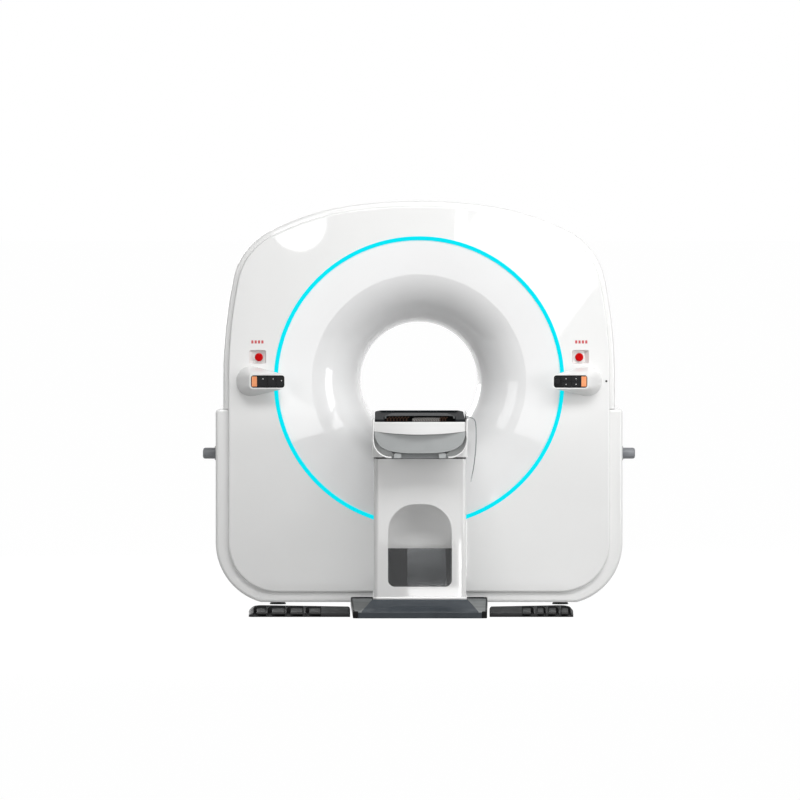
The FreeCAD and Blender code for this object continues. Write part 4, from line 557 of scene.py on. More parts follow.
rib_step = add_node(ribs_tree, "ShaderNodeCombineXYZ", {"X": ribs_in.outputs["Pitch"]})
rib_row = add_node(ribs_tree, "GeometryNodeMeshLine", {"Count": ribs_in.outputs["Count"],
                                                      "Offset": rib_step.outputs["Vector"]})
rib_rows = add_node(ribs_tree, "GeometryNodeInstanceOnPoints", {"Points": rib_row.outputs["Mesh"],
                                                               "Instance": rib_low.outputs["Geometry"]})
rib_sets = add_node(ribs_tree, "GeometryNodeInstanceOnPoints", {"Points": ribs_in.outputs["Geometry"],
                                                               "Instance": rib_rows.outputs["Instances"]})
rib_vinyl = surface("brown_black_vinyl", ("33251E", "402F27"), 0.02, (0.45, 0.6), 0.0012, 0.00008,
                    Specular_IOR_Level=0.0)
close_tree(ribs_tree, rib_sets.outputs["Instances"], rib_vinyl)
print(len(ribs_tree.nodes), "nodes for", sum(row[2] for row in CHANNEL_SETS), "channels")

# %% Mat: channels
for side, first, count, pitch, share in CHANNEL_SETS:
    channels = grow("mat_channels_" + side, ribs_tree, [(first, MAT_NEAR + CHANNEL_START, MAT_TOP - CHANNEL_SINK)],
                    [], {"Width": CHANNEL_WIDTH, "Height": CHANNEL_HEIGHT, "Reach": MAT_SLANT_RUN * share,
                         "Askew": MAT_SLANT * share, "Count": count, "Pitch": pitch}, "tray")

# %% [markdown]
# ### Woven panel
# The panel is a plain weave. Two crossed sets of bands make it: their product is bright where the threads of both
# sets lie on top, and it drives the colour and the height alike. A real thread is 0.4 mm wide, too fine for this
# view, so the weave is drawn at 4 mm.

# %% Mat: the weave
WEAVE, BIAS = 0.004, math.radians(20)       # the drawn width of a thread, and the turn of the cloth
BAND_PITCH = 0.314                          # metres between the bands of a wave texture whose scale is 1
weave_cloth = surface("grey_woven_panel", ("65625F", "767370"), 0.01, (0.7, 0.85), 0.001, 0.00008,
                      Specular_IOR_Level=0.0)
weave = weave_cloth.node_tree
weave_place = add_node(weave, "ShaderNodeTexCoord").outputs["Object"]
bias = add_node(weave, "ShaderNodeMapping", {"Vector": weave_place, "Rotation": (0, 0, BIAS)})
threads = [add_node(weave, "ShaderNodeTexWave", {"Vector": bias.outputs["Vector"], "Scale": BAND_PITCH / WEAVE,
                                                 "Distortion": 0.6, "Detail": 1.0}, bands_direction=axis)
           for axis in ("X", "Y")]
crossing = add_node(weave, "ShaderNodeMath", {0: threads[0].outputs["Fac"], 1: threads[1].outputs["Fac"]},
                    operation="MULTIPLY")
weave_tint = add_node(weave, "ShaderNodeValToRGB", {"Fac": crossing.outputs[0]})
weave_tint.color_ramp.elements[0].color = linear("4C4A48")
weave_tint.color_ramp.elements[1].color = linear("9A9794")
weave_shader = weave.nodes["Principled BSDF"]
weave.links.new(weave_tint.outputs["Color"], weave_shader.inputs["Base Color"])
raised = add_node(weave, "ShaderNodeBump", {"Height": crossing.outputs[0], "Distance": 0.0004})
weave.links.new(raised.outputs["Normal"], weave_shader.inputs["Normal"])
print("weave drawn at", WEAVE, "m")

# %% Mat: woven panel
PANEL_LEFT, PANEL_RIGHT, PANEL_START, PANEL_FAR = -0.0365, 0.0925, 0.010, -0.900
PANEL_LIFT, PANEL_CROWN, PANEL_FULLNESS, PANEL_SINK = 0.0002, 0.0012, 0.4, 0.0012
PANEL_COLUMNS, PANEL_ROWS = 24, 40


def panel_place(x, y):
    """The panel leans like the channels beside it."""
    return x + MAT_SLANT * (y - MAT_NEAR) / MAT_SLANT_RUN, y


def panel_height(x, y):
    """A full, flat crown from side to side."""
    across = math.sin(math.pi * (x - PANEL_LEFT) / (PANEL_RIGHT - PANEL_LEFT))
    return MAT_TOP + PANEL_LIFT + PANEL_CROWN * max(across, 0.0) ** PANEL_FULLNESS


panel_columns = steps(PANEL_LEFT, PANEL_RIGHT, PANEL_COLUMNS)
woven_panel = finished("mat_woven_panel",
                       relief(panel_columns, steps(MAT_NEAR + PANEL_START, PANEL_FAR, PANEL_ROWS), panel_place,
                              panel_height, lambda x, y: MAT_TOP - PANEL_SINK),
                       [weave_cloth], "tray")

# %% [markdown]
# ### Binding
# A strip of grey tape is sewn round the mat's edge. A second tree sweeps a flat oval along any line, here the mat's
# own outline, and keeps the oval level by pointing the line's normals up. It serves every edging that follows.

# %% Edging tree
edge_tree, edge_in = new_tree("swept_edging", Width="Float", Height="Float", Finish="Material")
edge_line = add_node(edge_tree, "GeometryNodeMeshToCurve", {"Mesh": edge_in.outputs["Geometry"]})
edge_level = add_node(edge_tree, "GeometryNodeSetCurveNormal", {"Curve": edge_line.outputs["Curve"]}, mode="Z_UP")
edge_round = add_node(edge_tree, "GeometryNodeCurvePrimitiveCircle", {"Resolution": ROUND_SIDES, "Radius": 0.5})
edge_scale = add_node(edge_tree, "ShaderNodeCombineXYZ", {"X": edge_in.outputs["Width"],
                                                         "Y": edge_in.outputs["Height"], "Z": 1.0})
edge_oval = add_node(edge_tree, "GeometryNodeTransform", {"Geometry": edge_round.outputs["Curve"],
                                                         "Scale": edge_scale.outputs["Vector"]})
edge_tube = add_node(edge_tree, "GeometryNodeCurveToMesh", {"Curve": edge_level.outputs["Curve"],
                                                           "Profile Curve": edge_oval.outputs["Geometry"],
                                                           "Fill Caps": True})
binding_tape = surface("grey_binding_tape", ("5C5E5E", "686A6A"), 0.01, (0.5, 0.65), 0.0008, 0.00005,
                       Specular_IOR_Level=0.0)
close_tree(edge_tree, edge_tube.outputs["Mesh"], edge_in.outputs["Finish"])
print(len(edge_tree.nodes), "nodes for every edging")


def sweep(name, lines, width, height, finish, body, closed=False):
    """An edging along one or more lines of points."""
    points, links = [], []
    for line_points in lines:
        first = len(points)
        points += line_points
        links += [(i, i + 1) for i in range(first, len(points) - 1)]
        if closed:
            links.append((len(points) - 1, first))
    return grow(name, edge_tree, points, links, {"Width": width, "Height": height, "Finish": finish}, body)


# %% Mat: binding
TAPE_INSET, TAPE_Z, TAPE_WIDTH, TAPE_HEIGHT, TAPE_ROWS = 0.0065, MAT_TOP - 0.0013, 0.0095, 0.0040, 120
tape_side = [(mat_half_width(y) - TAPE_INSET, y, TAPE_Z)
             for y in steps(MAT_NEAR + TAPE_INSET, MAT_FAR - TAPE_INSET, TAPE_ROWS)]
binding = sweep("mat_binding", [tape_side + [(-x, y, z) for x, y, z in reversed(tape_side)]], TAPE_WIDTH,
                TAPE_HEIGHT, binding_tape, "tray", closed=True)

# %% [markdown]
# ### Flap and far panel
# The mat's near end laps over the tray's rim, so its channels and its panel run on to the white band: a thin
# crowned flap with its own ribs. Past the mat's far end a smooth lacquered panel fills the recess, and at this flat
# angle it mirrors the bore. Both follow a height rule again.

# %% Mat flap: height rule
FLAP_NEAR, FLAP_FAR, FLAP_HALF, FLAP_NOSE = -1.4105, -1.3315, 0.168, 0.0050
RIM_NEAR, RIM_TOP, FLAP_TOP, FLAP_LOW = -1.4052, 0.9411, 0.9440, 0.9302
FLAP_EDGE, FLAP_SPAN, FLAP_WALL = 0.3, 0.7, 0.0002      # the crown at the sides, its growth inward, the nose's wall


def flap_top(x, y):
    """The flap lies on the rim and turns down over its near face."""
    past = 1 - min((y - FLAP_NEAR) / FLAP_NOSE, 1.0)
    side = FLAP_EDGE + FLAP_SPAN * rolled((FLAP_HALF - abs(x)) * 2)
    return FLAP_LOW + (RIM_TOP + (FLAP_TOP - RIM_TOP) * side - FLAP_LOW) * math.sqrt(1 - past ** 2)


def flap_under(x, y):
    """The flap's underside rests on the rim, and its nose hangs in front of the rim's near face."""
    return FLAP_LOW - FLAP_WALL if y < RIM_NEAR else RIM_TOP


print("flap", round(flap_top(0, FLAP_FAR) - RIM_TOP, 4), "m thick in the middle")

# %% Mat flap
FLAP_RIB, FLAP_BEND = 0.0062, -1.380
FLAP_PANEL_SHIFT, FLAP_PANEL_SINK = 0.0005, 0.0015
nose_rows = [FLAP_NEAR + FLAP_NOSE * (1 - math.cos(a)) for a in steps(0.0, math.pi / 2, 12)]
flap_rows = nose_rows + [FLAP_NEAR + FLAP_NOSE + 0.0004] + steps(FLAP_NEAR + FLAP_NOSE + 0.004, FLAP_FAR, 10)
mat_flap = finished("mat_end_flap",
                    relief([FLAP_HALF * v for v in mat_across], flap_rows, lambda x, y: (x, y), flap_top, flap_under),
                    [mat_vinyl], "tray")
flap_panel = finished("flap_woven_panel",
                      relief(panel_columns, flap_rows, lambda x, y: (x, y - FLAP_PANEL_SHIFT),
                             lambda x, y: flap_top(x, y) + panel_height(x, y) - MAT_TOP,
                             lambda x, y: max(flap_top(x, y) - FLAP_PANEL_SINK, FLAP_LOW - FLAP_WALL)),
                      [weave_cloth], "tray")
rib_rows_y = nose_rows[1:] + [FLAP_BEND, FLAP_FAR - 0.004]
flap_ribs = sweep("flap_channels",
                  [[(first + number * pitch, y, flap_top(0, y)) for y in rib_rows_y]
                   for _, first, count, pitch, _ in CHANNEL_SETS for number in range(count)],
                  FLAP_RIB, FLAP_RIB, rib_vinyl, "tray")

# %% Far panel of the tray
RECESS_FAR, RECESS_FAR_HALF, RECESS_CORNER = 0.111, 0.134, 0.056
INLAY_TOP, INLAY_GAP, INLAY_START, INLAY_ROLL = 0.9385, 0.002, 0.004, 0.003
panel_lacquer = surface("clear_lacquered_carbon", ("16191B", "202427"), 0.05, (0.30, 0.40), 0.004, 0.00004,
                        Specular_IOR_Level=0.0, Coat_Weight=0.22, Coat_Roughness=0.2)


def inlay_half(y):
    """Half the panel's width: it narrows with the recess and ends in round corners."""
    share = min(max((y - MAT_NECK) / (RECESS_FAR - MAT_NECK), 0.0), 1.0)
    half = MAT_HALF - INLAY_GAP + (RECESS_FAR_HALF - MAT_HALF + INLAY_GAP) * share
    edge = min(RECESS_FAR - y, RECESS_CORNER)
    return half - RECESS_CORNER + math.sqrt(RECESS_CORNER ** 2 - (RECESS_CORNER - edge) ** 2)


def inlay_height(v, y):
    """Flat, with an edge that is rolled three times as tight as the mat's."""
    from_edge = min(inlay_half(y) * (1 - abs(v)), y - inlay_rows[0], RECESS_FAR - y)
    return INLAY_TOP - INLAY_ROLL * (1 - rolled(3 * from_edge))


inlay_rows = steps(MAT_FAR + INLAY_START, RECESS_FAR - 0.060, 20) + steps(RECESS_FAR - 0.050, RECESS_FAR, 16)
finished("tray_far_panel",
         relief(mat_across, inlay_rows, lambda v, y: (v * inlay_half(y), y), inlay_height, lambda v, y: MAT_LOW),
         [panel_lacquer], "tray")

# %% [markdown]
# ## The hull's seal strip
# Between the white band and the hull runs a grey strip that follows the band's drooping edge and hides the tray's
# runners. It could be bent from a bar, but a height rule takes the band's own arc. The strip is fixed to the couch,
# 1.5 mm below the band, so the band passes over it when the tray slides in.

# %% Seal strip
STRIP_HALF, STRIP_NEAR, STRIP_DEPTH, STRIP_GAP = 0.2195, -1.4010, 0.012, 0.0015
BAND_HALF, BAND_ENDS, BAND_MIDDLE, HULL_FLAT = 0.216, 0.885, 0.870, 0.8655
band_rise = BAND_ENDS - BAND_MIDDLE
band_radius = (BAND_HALF ** 2 + band_rise ** 2) / (2 * band_rise)


def under_band(x, y=0.0):
    """The band's lower edge is an arc, and the strip stops just below it."""
    reach = min(abs(x), BAND_HALF)
    return BAND_MIDDLE - STRIP_GAP + band_radius - math.sqrt(band_radius ** 2 - reach ** 2)


finished("hull_seal_strip",
         relief(steps(-STRIP_HALF, STRIP_HALF, 64), steps(STRIP_NEAR, STRIP_NEAR + STRIP_DEPTH, 3),
                lambda x, y: (x, y), under_band, lambda x, y: HULL_FLAT),
         [hull_plastic], "couch")

# %% [markdown]
# ## The pocket
# Behind the smoked pane is a dark lined pocket with a light grey holder for leaflets in it, narrower than the niche
# and cut on a slant at its right. Both are thin moulded plates with rounded edges, made by drawing the outline,
# giving it thickness and bevelling every edge.

# %% Pocket liner and holder
NICHE_BACK, POCKET_LOW, POCKET_HIGH, POCKET_HALF = -1.2150, 0.1475, 0.3250, 0.146
LINER_FRONT, LINER_BACK, LINER_ROUNDING = NICHE_BACK - 0.0035, NICHE_BACK + 0.0005, 0.0012
HOLDER_LEFT, HOLDER_RIGHT_LOW, HOLDER_RIGHT_HIGH = -0.0597, 0.1287, 0.1209
HOLDER_FRONT, HOLDER_BACK, HOLDER_ROUNDING = NICHE_BACK - 0.040, NICHE_BACK - 0.020, 0.0025


def slab(corners, thickness):
    """A bmesh of a flat face through its corners, given a thickness."""
    mesh = bmesh.new()
    first = mesh.faces.new([mesh.verts.new(corner) for corner in corners])
    grown = bmesh.ops.extrude_face_region(mesh, geom=[first])
    moved = [item for item in grown["geom"] if isinstance(item, bmesh.types.BMVert)]
    bmesh.ops.translate(mesh, verts=moved, vec=thickness)
    return mesh


def plate(name, outline, y0, y1, rounding, material, body):
    """A plate that faces along Y, from its outline of (x, z), with rounded edges."""
    mesh = slab([(x, y0, z) for x, z in outline], (0, y1 - y0, 0))
    bmesh.ops.bevel(mesh, geom=mesh.edges[:], offset=rounding, segments=3, affect="EDGES", profile=0.5)
    return finished(name, mesh, [material], body)


def rectangle(left, right, low, high, way=1):
    """The corners of an upright rectangle, on the side that way names."""
    return [(way * left, low), (way * right, low), (way * right, high), (way * left, high)]


liner_felt = surface("dark_pocket_liner", ("121314", "1B1C1D"), 0.05, (0.7, 0.85), 0.002, 0.0002,
                     Specular_IOR_Level=0.1)
holder_plastic = surface("light_grey_holder", ("DEDFDF", "E6E7E7"), 0.08, (0.4, 0.5), 0.003, 0.00005)
plate("pocket_liner", rectangle(-POCKET_HALF, POCKET_HALF, POCKET_LOW, POCKET_HIGH), LINER_FRONT, LINER_BACK,
      LINER_ROUNDING, liner_felt, "machine")
plate("pocket_holder", [(HOLDER_LEFT, POCKET_LOW), (HOLDER_RIGHT_LOW, POCKET_LOW),
                        (HOLDER_RIGHT_HIGH, POCKET_HIGH), (HOLDER_LEFT, POCKET_HIGH)],
      HOLDER_FRONT, HOLDER_BACK, HOLDER_ROUNDING, holder_plastic, "machine")

# %% [markdown]
# ## The couch's front
# Three thin parts close the couch towards its near end: a white bead along the shell's edge, a bowl-shaped grey
# panel under the band, and two bracket plates on the insert, whose lighter grey is painted light. The bead is swept
# along the shell's section by the edging tree, and the others are plates cut to an outline.

# %% Couch bead
SHELL_FACE, SHELL_HALF, SHELL_TOP, SHELL_LOW, SHELL_CORNER, SLOT_HALF = -1.430, 0.226, 0.944, 0.757, 0.085, 0.134
BEAD, BEAD_DROP, BEAD_STRAIGHT, BEAD_GAP = 0.0086, 0.003, 0.030, 0.001
bead_x, bead_radius = SHELL_HALF - BEAD / 2, SHELL_CORNER - BEAD / 2
turn_x, turn_z = SHELL_HALF - SHELL_CORNER, SHELL_LOW + SHELL_CORNER
bead_line = [(bead_x, SHELL_TOP - BEAD_DROP), (bead_x, turn_z + BEAD_STRAIGHT)]
bead_line += [(turn_x + bead_radius * math.cos(a), turn_z - bead_radius * math.sin(a))
              for a in steps(0, math.pi / 2, 20)]
bead_line.append((SLOT_HALF + BEAD_GAP, SHELL_LOW + BEAD / 2))
sweep("couch_bead", [[(way * x, SHELL_FACE, z) for x, z in bead_line] for way in (-1, 1)], BEAD, BEAD, table_enamel,
      "couch")

# %% Couch front panel and brackets
BOWL_HALF, BOWL_LOW, BOWL_RISE, BOWL_POWER = 0.2165, 0.7807, 0.127, 3.2
FRONT_PANEL_HALF, FRONT_PANEL_FACE, FRONT_PANEL_ROUNDING = 0.2150, -1.4320, 0.0010
INSERT_FACE, BRACKET_FRONT, BRACKET_SINK = -1.4235, 0.0040, 0.0005
SIDES = (("left", -1), ("right", 1))
BRACKET = ((0.0910, 0.7575), (0.1240, 0.7575), (0.1215, 0.7800), (0.1130, 0.7820), (0.0885, 0.7790))


def bowl(x):
    """The panel's lower edge: nearly flat in the middle and steep at its ends."""
    return BOWL_LOW + BOWL_RISE * (1 - (1 - (abs(x) / BOWL_HALF) ** BOWL_POWER) ** (1 / BOWL_POWER))


panel_xs = [FRONT_PANEL_HALF * math.sin(math.pi / 2 * u) for u in steps(-1, 1, 40)]
plate("couch_front_panel", [(x, under_band(x)) for x in panel_xs] + [(x, bowl(x)) for x in reversed(panel_xs)],
      FRONT_PANEL_FACE, INSERT_FACE - 0.0001, FRONT_PANEL_ROUNDING, hull_plastic, "couch")
# painted light: the brackets get a lighter grey than the insert's, for the light the raised plates catch
bracket_plastic_painted_light = surface("grey_bracket_painted_light", ("A2A5A5", "ABAEAE"), 0.05, (0.42, 0.5), 0.002, 0.00004)
for side, way in SIDES:
    plate("insert_bracket_" + side, [(way * x, z) for x, z in BRACKET], INSERT_FACE - BRACKET_FRONT,
          INSERT_FACE + BRACKET_SINK, FRONT_PANEL_ROUNDING, bracket_plastic_painted_light, "couch")

# %% [markdown]
# ## The floor plate
# The plate's cover is one moulding: a flat apron with a ramp that climbs to the column's foot. It is a relief whose
# grid lines follow the ramp's edges, so the folds stay crisp. A recessed plinth stands on it under the column, a
# black seal runs round its edge, two rubber caps guard its corners, and a white trim closes the column's foot.

# %% Floor plate: outline and height rule
BASE_NEAR, BASE_FAR, BASE_NEAR_HALF, BASE_FAR_HALF = -1.450, 0.482, 0.317, 0.332
BASE_CORNER, APRON, APRON_EDGE = 0.035, 0.032, 0.005      # corner in plan, height, and rounding of the apron's edge
RAMP_START, RAMP_END, RAMP_LAST, RAMP_RISE = -1.442, -1.328, -1.300, 0.053
RAMP_LOW_HALF, RAMP_HIGH_HALF, RAMP_SIDE = 0.277, 0.2265, 0.024
CREST_SHARE, SIDE_SHARE, SIDE_MARGIN = 0.6, 0.7, 0.001    # where the ramp's top and its side end on the grid


def base_half(y):
    """Half the cover's width at depth y, with its rounded corners."""
    half = BASE_NEAR_HALF + (BASE_FAR_HALF - BASE_NEAR_HALF) * (y - BASE_NEAR) / (BASE_FAR - BASE_NEAR)
    edge = min(y - BASE_NEAR, BASE_FAR - y, BASE_CORNER)
    return half - BASE_CORNER + math.sqrt(BASE_CORNER ** 2 - (BASE_CORNER - edge) ** 2)


def ramp_share(y):
    """How far the ramp has climbed at depth y."""
    return min(max((y - RAMP_START) / (RAMP_END - RAMP_START), 0.0), 1.0)


def base_place(u, y):
    """Where a grid line u lies: the shares of the ramp's crest and side land on their edges."""
    crest = RAMP_LOW_HALF + (RAMP_HIGH_HALF - RAMP_LOW_HALF) * ramp_share(y)
    half = base_half(y)
    side = min(crest + RAMP_SIDE, half - SIDE_MARGIN)
    stops = ((0.0, 0.0), (CREST_SHARE, crest), (SIDE_SHARE, side), (1.0, half))
    for (a, x0), (b, x1) in zip(stops, stops[1:]):
        if abs(u) <= b:
            return math.copysign(x0 + (x1 - x0) * (abs(u) - a) / (b - a), u), y


def base_height(u, y):
    """The flat apron with its rounded edge, and the ramp on it with its sloping sides."""
    edge = min(base_half(y) - abs(base_place(u, y)[0]), y - BASE_NEAR, BASE_FAR - y, APRON_EDGE)
    level = APRON - APRON_EDGE + math.sqrt(APRON_EDGE ** 2 - (APRON_EDGE - edge) ** 2)
    top = min(max((SIDE_SHARE - abs(u)) / (SIDE_SHARE - CREST_SHARE), 0.0), 1.0)
    return level + (RAMP_RISE * ramp_share(y) * top if y <= RAMP_LAST else 0.0)


print("floor plate", round(2 * base_half((BASE_NEAR + BASE_FAR) / 2), 3), "m wide at its middle")

# %% Floor plate cover
# the grid is close where an edge is rounded, and has a line on each fold of the ramp
base_us = [0.0, 0.15, 0.3, 0.45, CREST_SHARE, SIDE_SHARE, 0.8, 0.9, 0.955, 0.975, 0.985, 0.992, 0.997, 1.0]
base_us = [-u for u in reversed(base_us[1:])] + base_us
near_rows = [BASE_NEAR + d for d in (0.0, 0.0003, 0.001, 0.002, 0.0035, 0.005, 0.008, 0.012, 0.017, 0.023, 0.029,
                                     BASE_CORNER)]
far_rows = [BASE_FAR - d for d in (BASE_CORNER, 0.027, 0.02, 0.014, 0.009, 0.005, 0.0035, 0.002, 0.001, 0.0003, 0.0)]
base_rows = near_rows + steps(-1.400, RAMP_END, 4) + [RAMP_LAST, RAMP_LAST + 0.002]
base_rows += steps(-1.250, 0.430, 12) + far_rows
apron_painted_reflection = surface("grey_apron_painted_reflection", ("7C7F7F", "888B8B"), 0.2, (0.3, 0.4), 0.004, 0.00004,
                      Specular_IOR_Level=0.0, Coat_Weight=0.2, Coat_Roughness=0.15)
# beside the ramp's top the cover is a lighter grey: a painted reflection of the sky the flat apron mirrors
base_mesh = relief(base_us, base_rows, base_place, base_height, lambda u, y: 0.0)
for face in base_mesh.faces:
    x, y, z = face.calc_center_median()
    face.material_index = int(z > APRON / 2 and abs(x) > base_place(CREST_SHARE, y)[0])
base_cover = finished("table_base_cover", base_mesh, [graphite, apron_painted_reflection], "machine")
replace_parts(base_cover, "table_base")

# %% Plinth and link
PLINTH_HALF, PLINTH_NEAR, PLINTH_FAR, PLINTH_CORNER = 0.2105, -1.312, -0.328, 0.015
PLINTH_LOW, PLINTH_TOP = 0.030, 0.118
LINK_HALF, LINK_LOW, LINK_TOP, LINK_START, LINK_END, LINK_ROUNDING = 0.120, 0.001, 0.010, 0.470, 0.650, 0.002


def round_rectangle(half, near, far, corner, count):
    """The points of a rounded rectangle in plan."""
    return [(way_x * (half - corner) + corner * math.cos(a), (near + corner if way_y < 0 else far - corner)
             + corner * math.sin(a))
            for way_x, way_y, first in ((1, -1, -90), (1, 1, 0), (-1, 1, 90), (-1, -1, 180))
            for a in steps(math.radians(first), math.radians(first + 90), count)]


plinth_foot = round_rectangle(PLINTH_HALF, PLINTH_NEAR, PLINTH_FAR, PLINTH_CORNER, 6)
# the plinth is black powder coat; its black is partly painted shade, the dark gap under the column's foot
finished("table_plinth", slab([(x, y, PLINTH_LOW) for x, y in plinth_foot], (0, 0, PLINTH_TOP - PLINTH_LOW)),
         [powder_black], "machine")
plate("table_link", rectangle(-LINK_HALF, LINK_HALF, LINK_LOW, LINK_TOP), LINK_START, LINK_END, LINK_ROUNDING,
      powder_black, "machine")

# %% Seal, corner caps and foot trim
SEAL_INSET, SEAL_Z, SEAL_WIDTH, SEAL_HEIGHT = 0.0040, 0.0330, 0.0070, 0.0110
CAP_IN, CAP_OUT, CAP_LOW, CAP_TOP = 0.2930, 0.3178, 0.0006, 0.0335
CAP_NEAR, CAP_FAR, CAP_ROUNDING = -1.4515, -1.4100, 0.0045
COLUMN_HALF, COLUMN_NEAR, COLUMN_FAR, COLUMN_CORNER = 0.2185, -1.320, -0.320, 0.022
TRIM_Z, TRIM_WIDTH, TRIM_HEIGHT = 0.0905, 0.0080, 0.0135
# the seal starts behind the caps and turns the far corners with the cover's own rows
seal_rows = steps(BASE_NEAR + 0.045, BASE_FAR - 0.036, 12) + far_rows[1:6]
seal_side = [(base_half(y) - SEAL_INSET, y) for y in seal_rows]
seal_side += [(x, BASE_FAR - SEAL_INSET) for x in (0.270, 0.200, 0.125)]
sweep("base_edge_seal", [[(way * x, y, SEAL_Z) for x, y in seal_side] for way in (-1, 1)], SEAL_WIDTH, SEAL_HEIGHT,
      seal_rubber, "machine")
for side, way in SIDES:
    plate("base_corner_cap_" + side, rectangle(CAP_IN, CAP_OUT, CAP_LOW, CAP_TOP, way), CAP_NEAR, CAP_FAR,
          CAP_ROUNDING, seal_rubber, "machine")
trim_loop = [(x, y, TRIM_Z) for x, y in round_rectangle(COLUMN_HALF, COLUMN_NEAR, COLUMN_FAR, COLUMN_CORNER, 8)]
sweep("column_foot_trim", [trim_loop], TRIM_WIDTH, TRIM_HEIGHT, table_enamel, "machine", closed=True)

# %% [markdown]
# ## Screws on the rear panel
# The rear panel comes off for service: a ring of pan-head screws holds the rear funnel's flange, and two columns
# hold the panel. A head could be modelled once and copied by hand, but one tree sets the same head, a flattened dome
# with a raised hexagon for the key, on every point.

# %% Screw tree
screw_tree, screw_in = new_tree("pan_head_screws", Radius="Float", Height="Float")
head_scale = add_node(screw_tree, "ShaderNodeCombineXYZ", {"X": screw_in.outputs["Radius"],
                                                          "Y": screw_in.outputs["Height"],
                                                          "Z": screw_in.outputs["Radius"]})
head_ball = add_node(screw_tree, "GeometryNodeMeshUVSphere", {"Segments": 12, "Rings": 6, "Radius": 1.0})
head_key = add_node(screw_tree, "GeometryNodeMeshCylinder", {"Vertices": 6, "Radius": 0.42, "Depth": 2.3})
head_turned = add_node(screw_tree, "GeometryNodeTransform", {"Geometry": head_key.outputs["Mesh"],
                                                            "Rotation": (math.radians(90), 0, 0)})
head_parts = add_node(screw_tree, "GeometryNodeJoinGeometry")
screw_tree.links.new(head_ball.outputs["Mesh"], head_parts.inputs["Geometry"])
screw_tree.links.new(head_turned.outputs["Geometry"], head_parts.inputs["Geometry"])
head_sized = add_node(screw_tree, "GeometryNodeTransform", {"Geometry": head_parts.outputs["Geometry"],
                                                           "Scale": head_scale.outputs["Vector"]})
screw_set = add_node(screw_tree, "GeometryNodeInstanceOnPoints", {"Points": screw_in.outputs["Geometry"],
                                                                 "Instance": head_sized.outputs["Geometry"]})
close_tree(screw_tree, screw_set.outputs["Instances"], ground_steel)
print(len(screw_tree.nodes), "nodes for a screw")

# %% Rear screws
REAR_FACE, BORE_Z, SCREW_RING, SCREW_COLUMN = 1.450, 1.082, 0.722, 0.875
SCREW_RADIUS, SCREW_HEIGHT = 0.0065, 0.0020
screw_seeds = [(SCREW_RING * math.cos(a), REAR_FACE, BORE_Z + SCREW_RING * math.sin(a))
               for a in steps(math.radians(15), math.radians(375), 12)[:-1]]
screw_seeds += [(x, REAR_FACE, z) for x in (-SCREW_COLUMN, SCREW_COLUMN) for z in (0.280, 0.560, 0.840, 1.120, 1.400)]
grow("rear_panel_screws", screw_tree, screw_seeds, [], {"Radius": SCREW_RADIUS, "Height": SCREW_HEIGHT}, "machine")

# %% [markdown]
# ## Marks on the controls
# Four plain red bars are printed above each stop button, and most keys carry a small white dot. An image texture
# could show them, but thin pieces keep a clean edge, and 0.2 mm is enough. The bars come from a node tree that
# repeats one bar; the dots ride with their own keys.

# %% Printed bars
FRONT_FACE, MARK_XS, MARK_Z = 0.500, (-0.7835, 0.7855), 1.2740
BAR_COUNT, BAR_PITCH, BAR_WIDTH, BAR_HEIGHT, BAR_THICK = 4, 0.0162, 0.0105, 0.0150, 0.0004
bars_tree, bars_in = new_tree("printed_bars", Count="Int", Pitch="Float", Width="Float", Height="Float")
bar_size = add_node(bars_tree, "ShaderNodeCombineXYZ", {"X": bars_in.outputs["Width"], "Y": BAR_THICK,
                                                       "Z": bars_in.outputs["Height"]})
bar = add_node(bars_tree, "GeometryNodeMeshCube", {"Size": bar_size.outputs["Vector"]})
bar_step = add_node(bars_tree, "ShaderNodeCombineXYZ", {"X": bars_in.outputs["Pitch"]})
bar_row = add_node(bars_tree, "GeometryNodeMeshLine", {"Count": bars_in.outputs["Count"],
                                                      "Offset": bar_step.outputs["Vector"]})
bar_set = add_node(bars_tree, "GeometryNodeInstanceOnPoints", {"Points": bar_row.outputs["Mesh"],
                                                              "Instance": bar.outputs["Mesh"]})
bar_sets = add_node(bars_tree, "GeometryNodeInstanceOnPoints", {"Points": bars_in.outputs["Geometry"],
                                                               "Instance": bar_set.outputs["Instances"]})
red_print = surface("red_screen_print", ("C2474B", "CA5357"), 0.02, (0.4, 0.5), 0.002, 0.00001)
close_tree(bars_tree, bar_sets.outputs["Instances"], red_print)
mark_starts = [(x - 1.5 * BAR_PITCH, FRONT_FACE, MARK_Z) for x in MARK_XS]
grow("stop_marks", bars_tree, mark_starts, [],
     {"Count": BAR_COUNT, "Pitch": BAR_PITCH, "Width": BAR_WIDTH, "Height": BAR_HEIGHT}, "machine")

# %% Dots on the keys
DOT_RADIUS, DOT_THICK, DOT_ROUNDING, DOT_SIDES = 0.0022, 0.0002, 0.00005, 16
KEY_DOTS = (("key_1_left", -0.7557, 1.0965), ("key_2_left", -0.7063, 1.0965), ("key_3_left", -0.6662, 1.0885),
            ("key_1_right", 0.7110, 1.0975), ("key_2_right", 0.7595, 1.0975), ("key_3_right", 0.7110, 1.0700),
            ("key_4_right", 0.7595, 1.0700))
dot_print = surface("white_key_print", ("E4E4E2", "F0F0EE"), 0.01, (0.4, 0.5), 0.002, 0.00001)
for key, x, z in KEY_DOTS:
    front_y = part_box(key)[0][1]
    turn = [(x + DOT_RADIUS * math.cos(a), z + DOT_RADIUS * math.sin(a))
            for a in steps(0, 2 * math.pi, DOT_SIDES)[:-1]]
    plate("dot_on_" + key, turn, front_y - DOT_THICK, front_y + DOT_THICK, DOT_ROUNDING, dot_print, key + "_body")

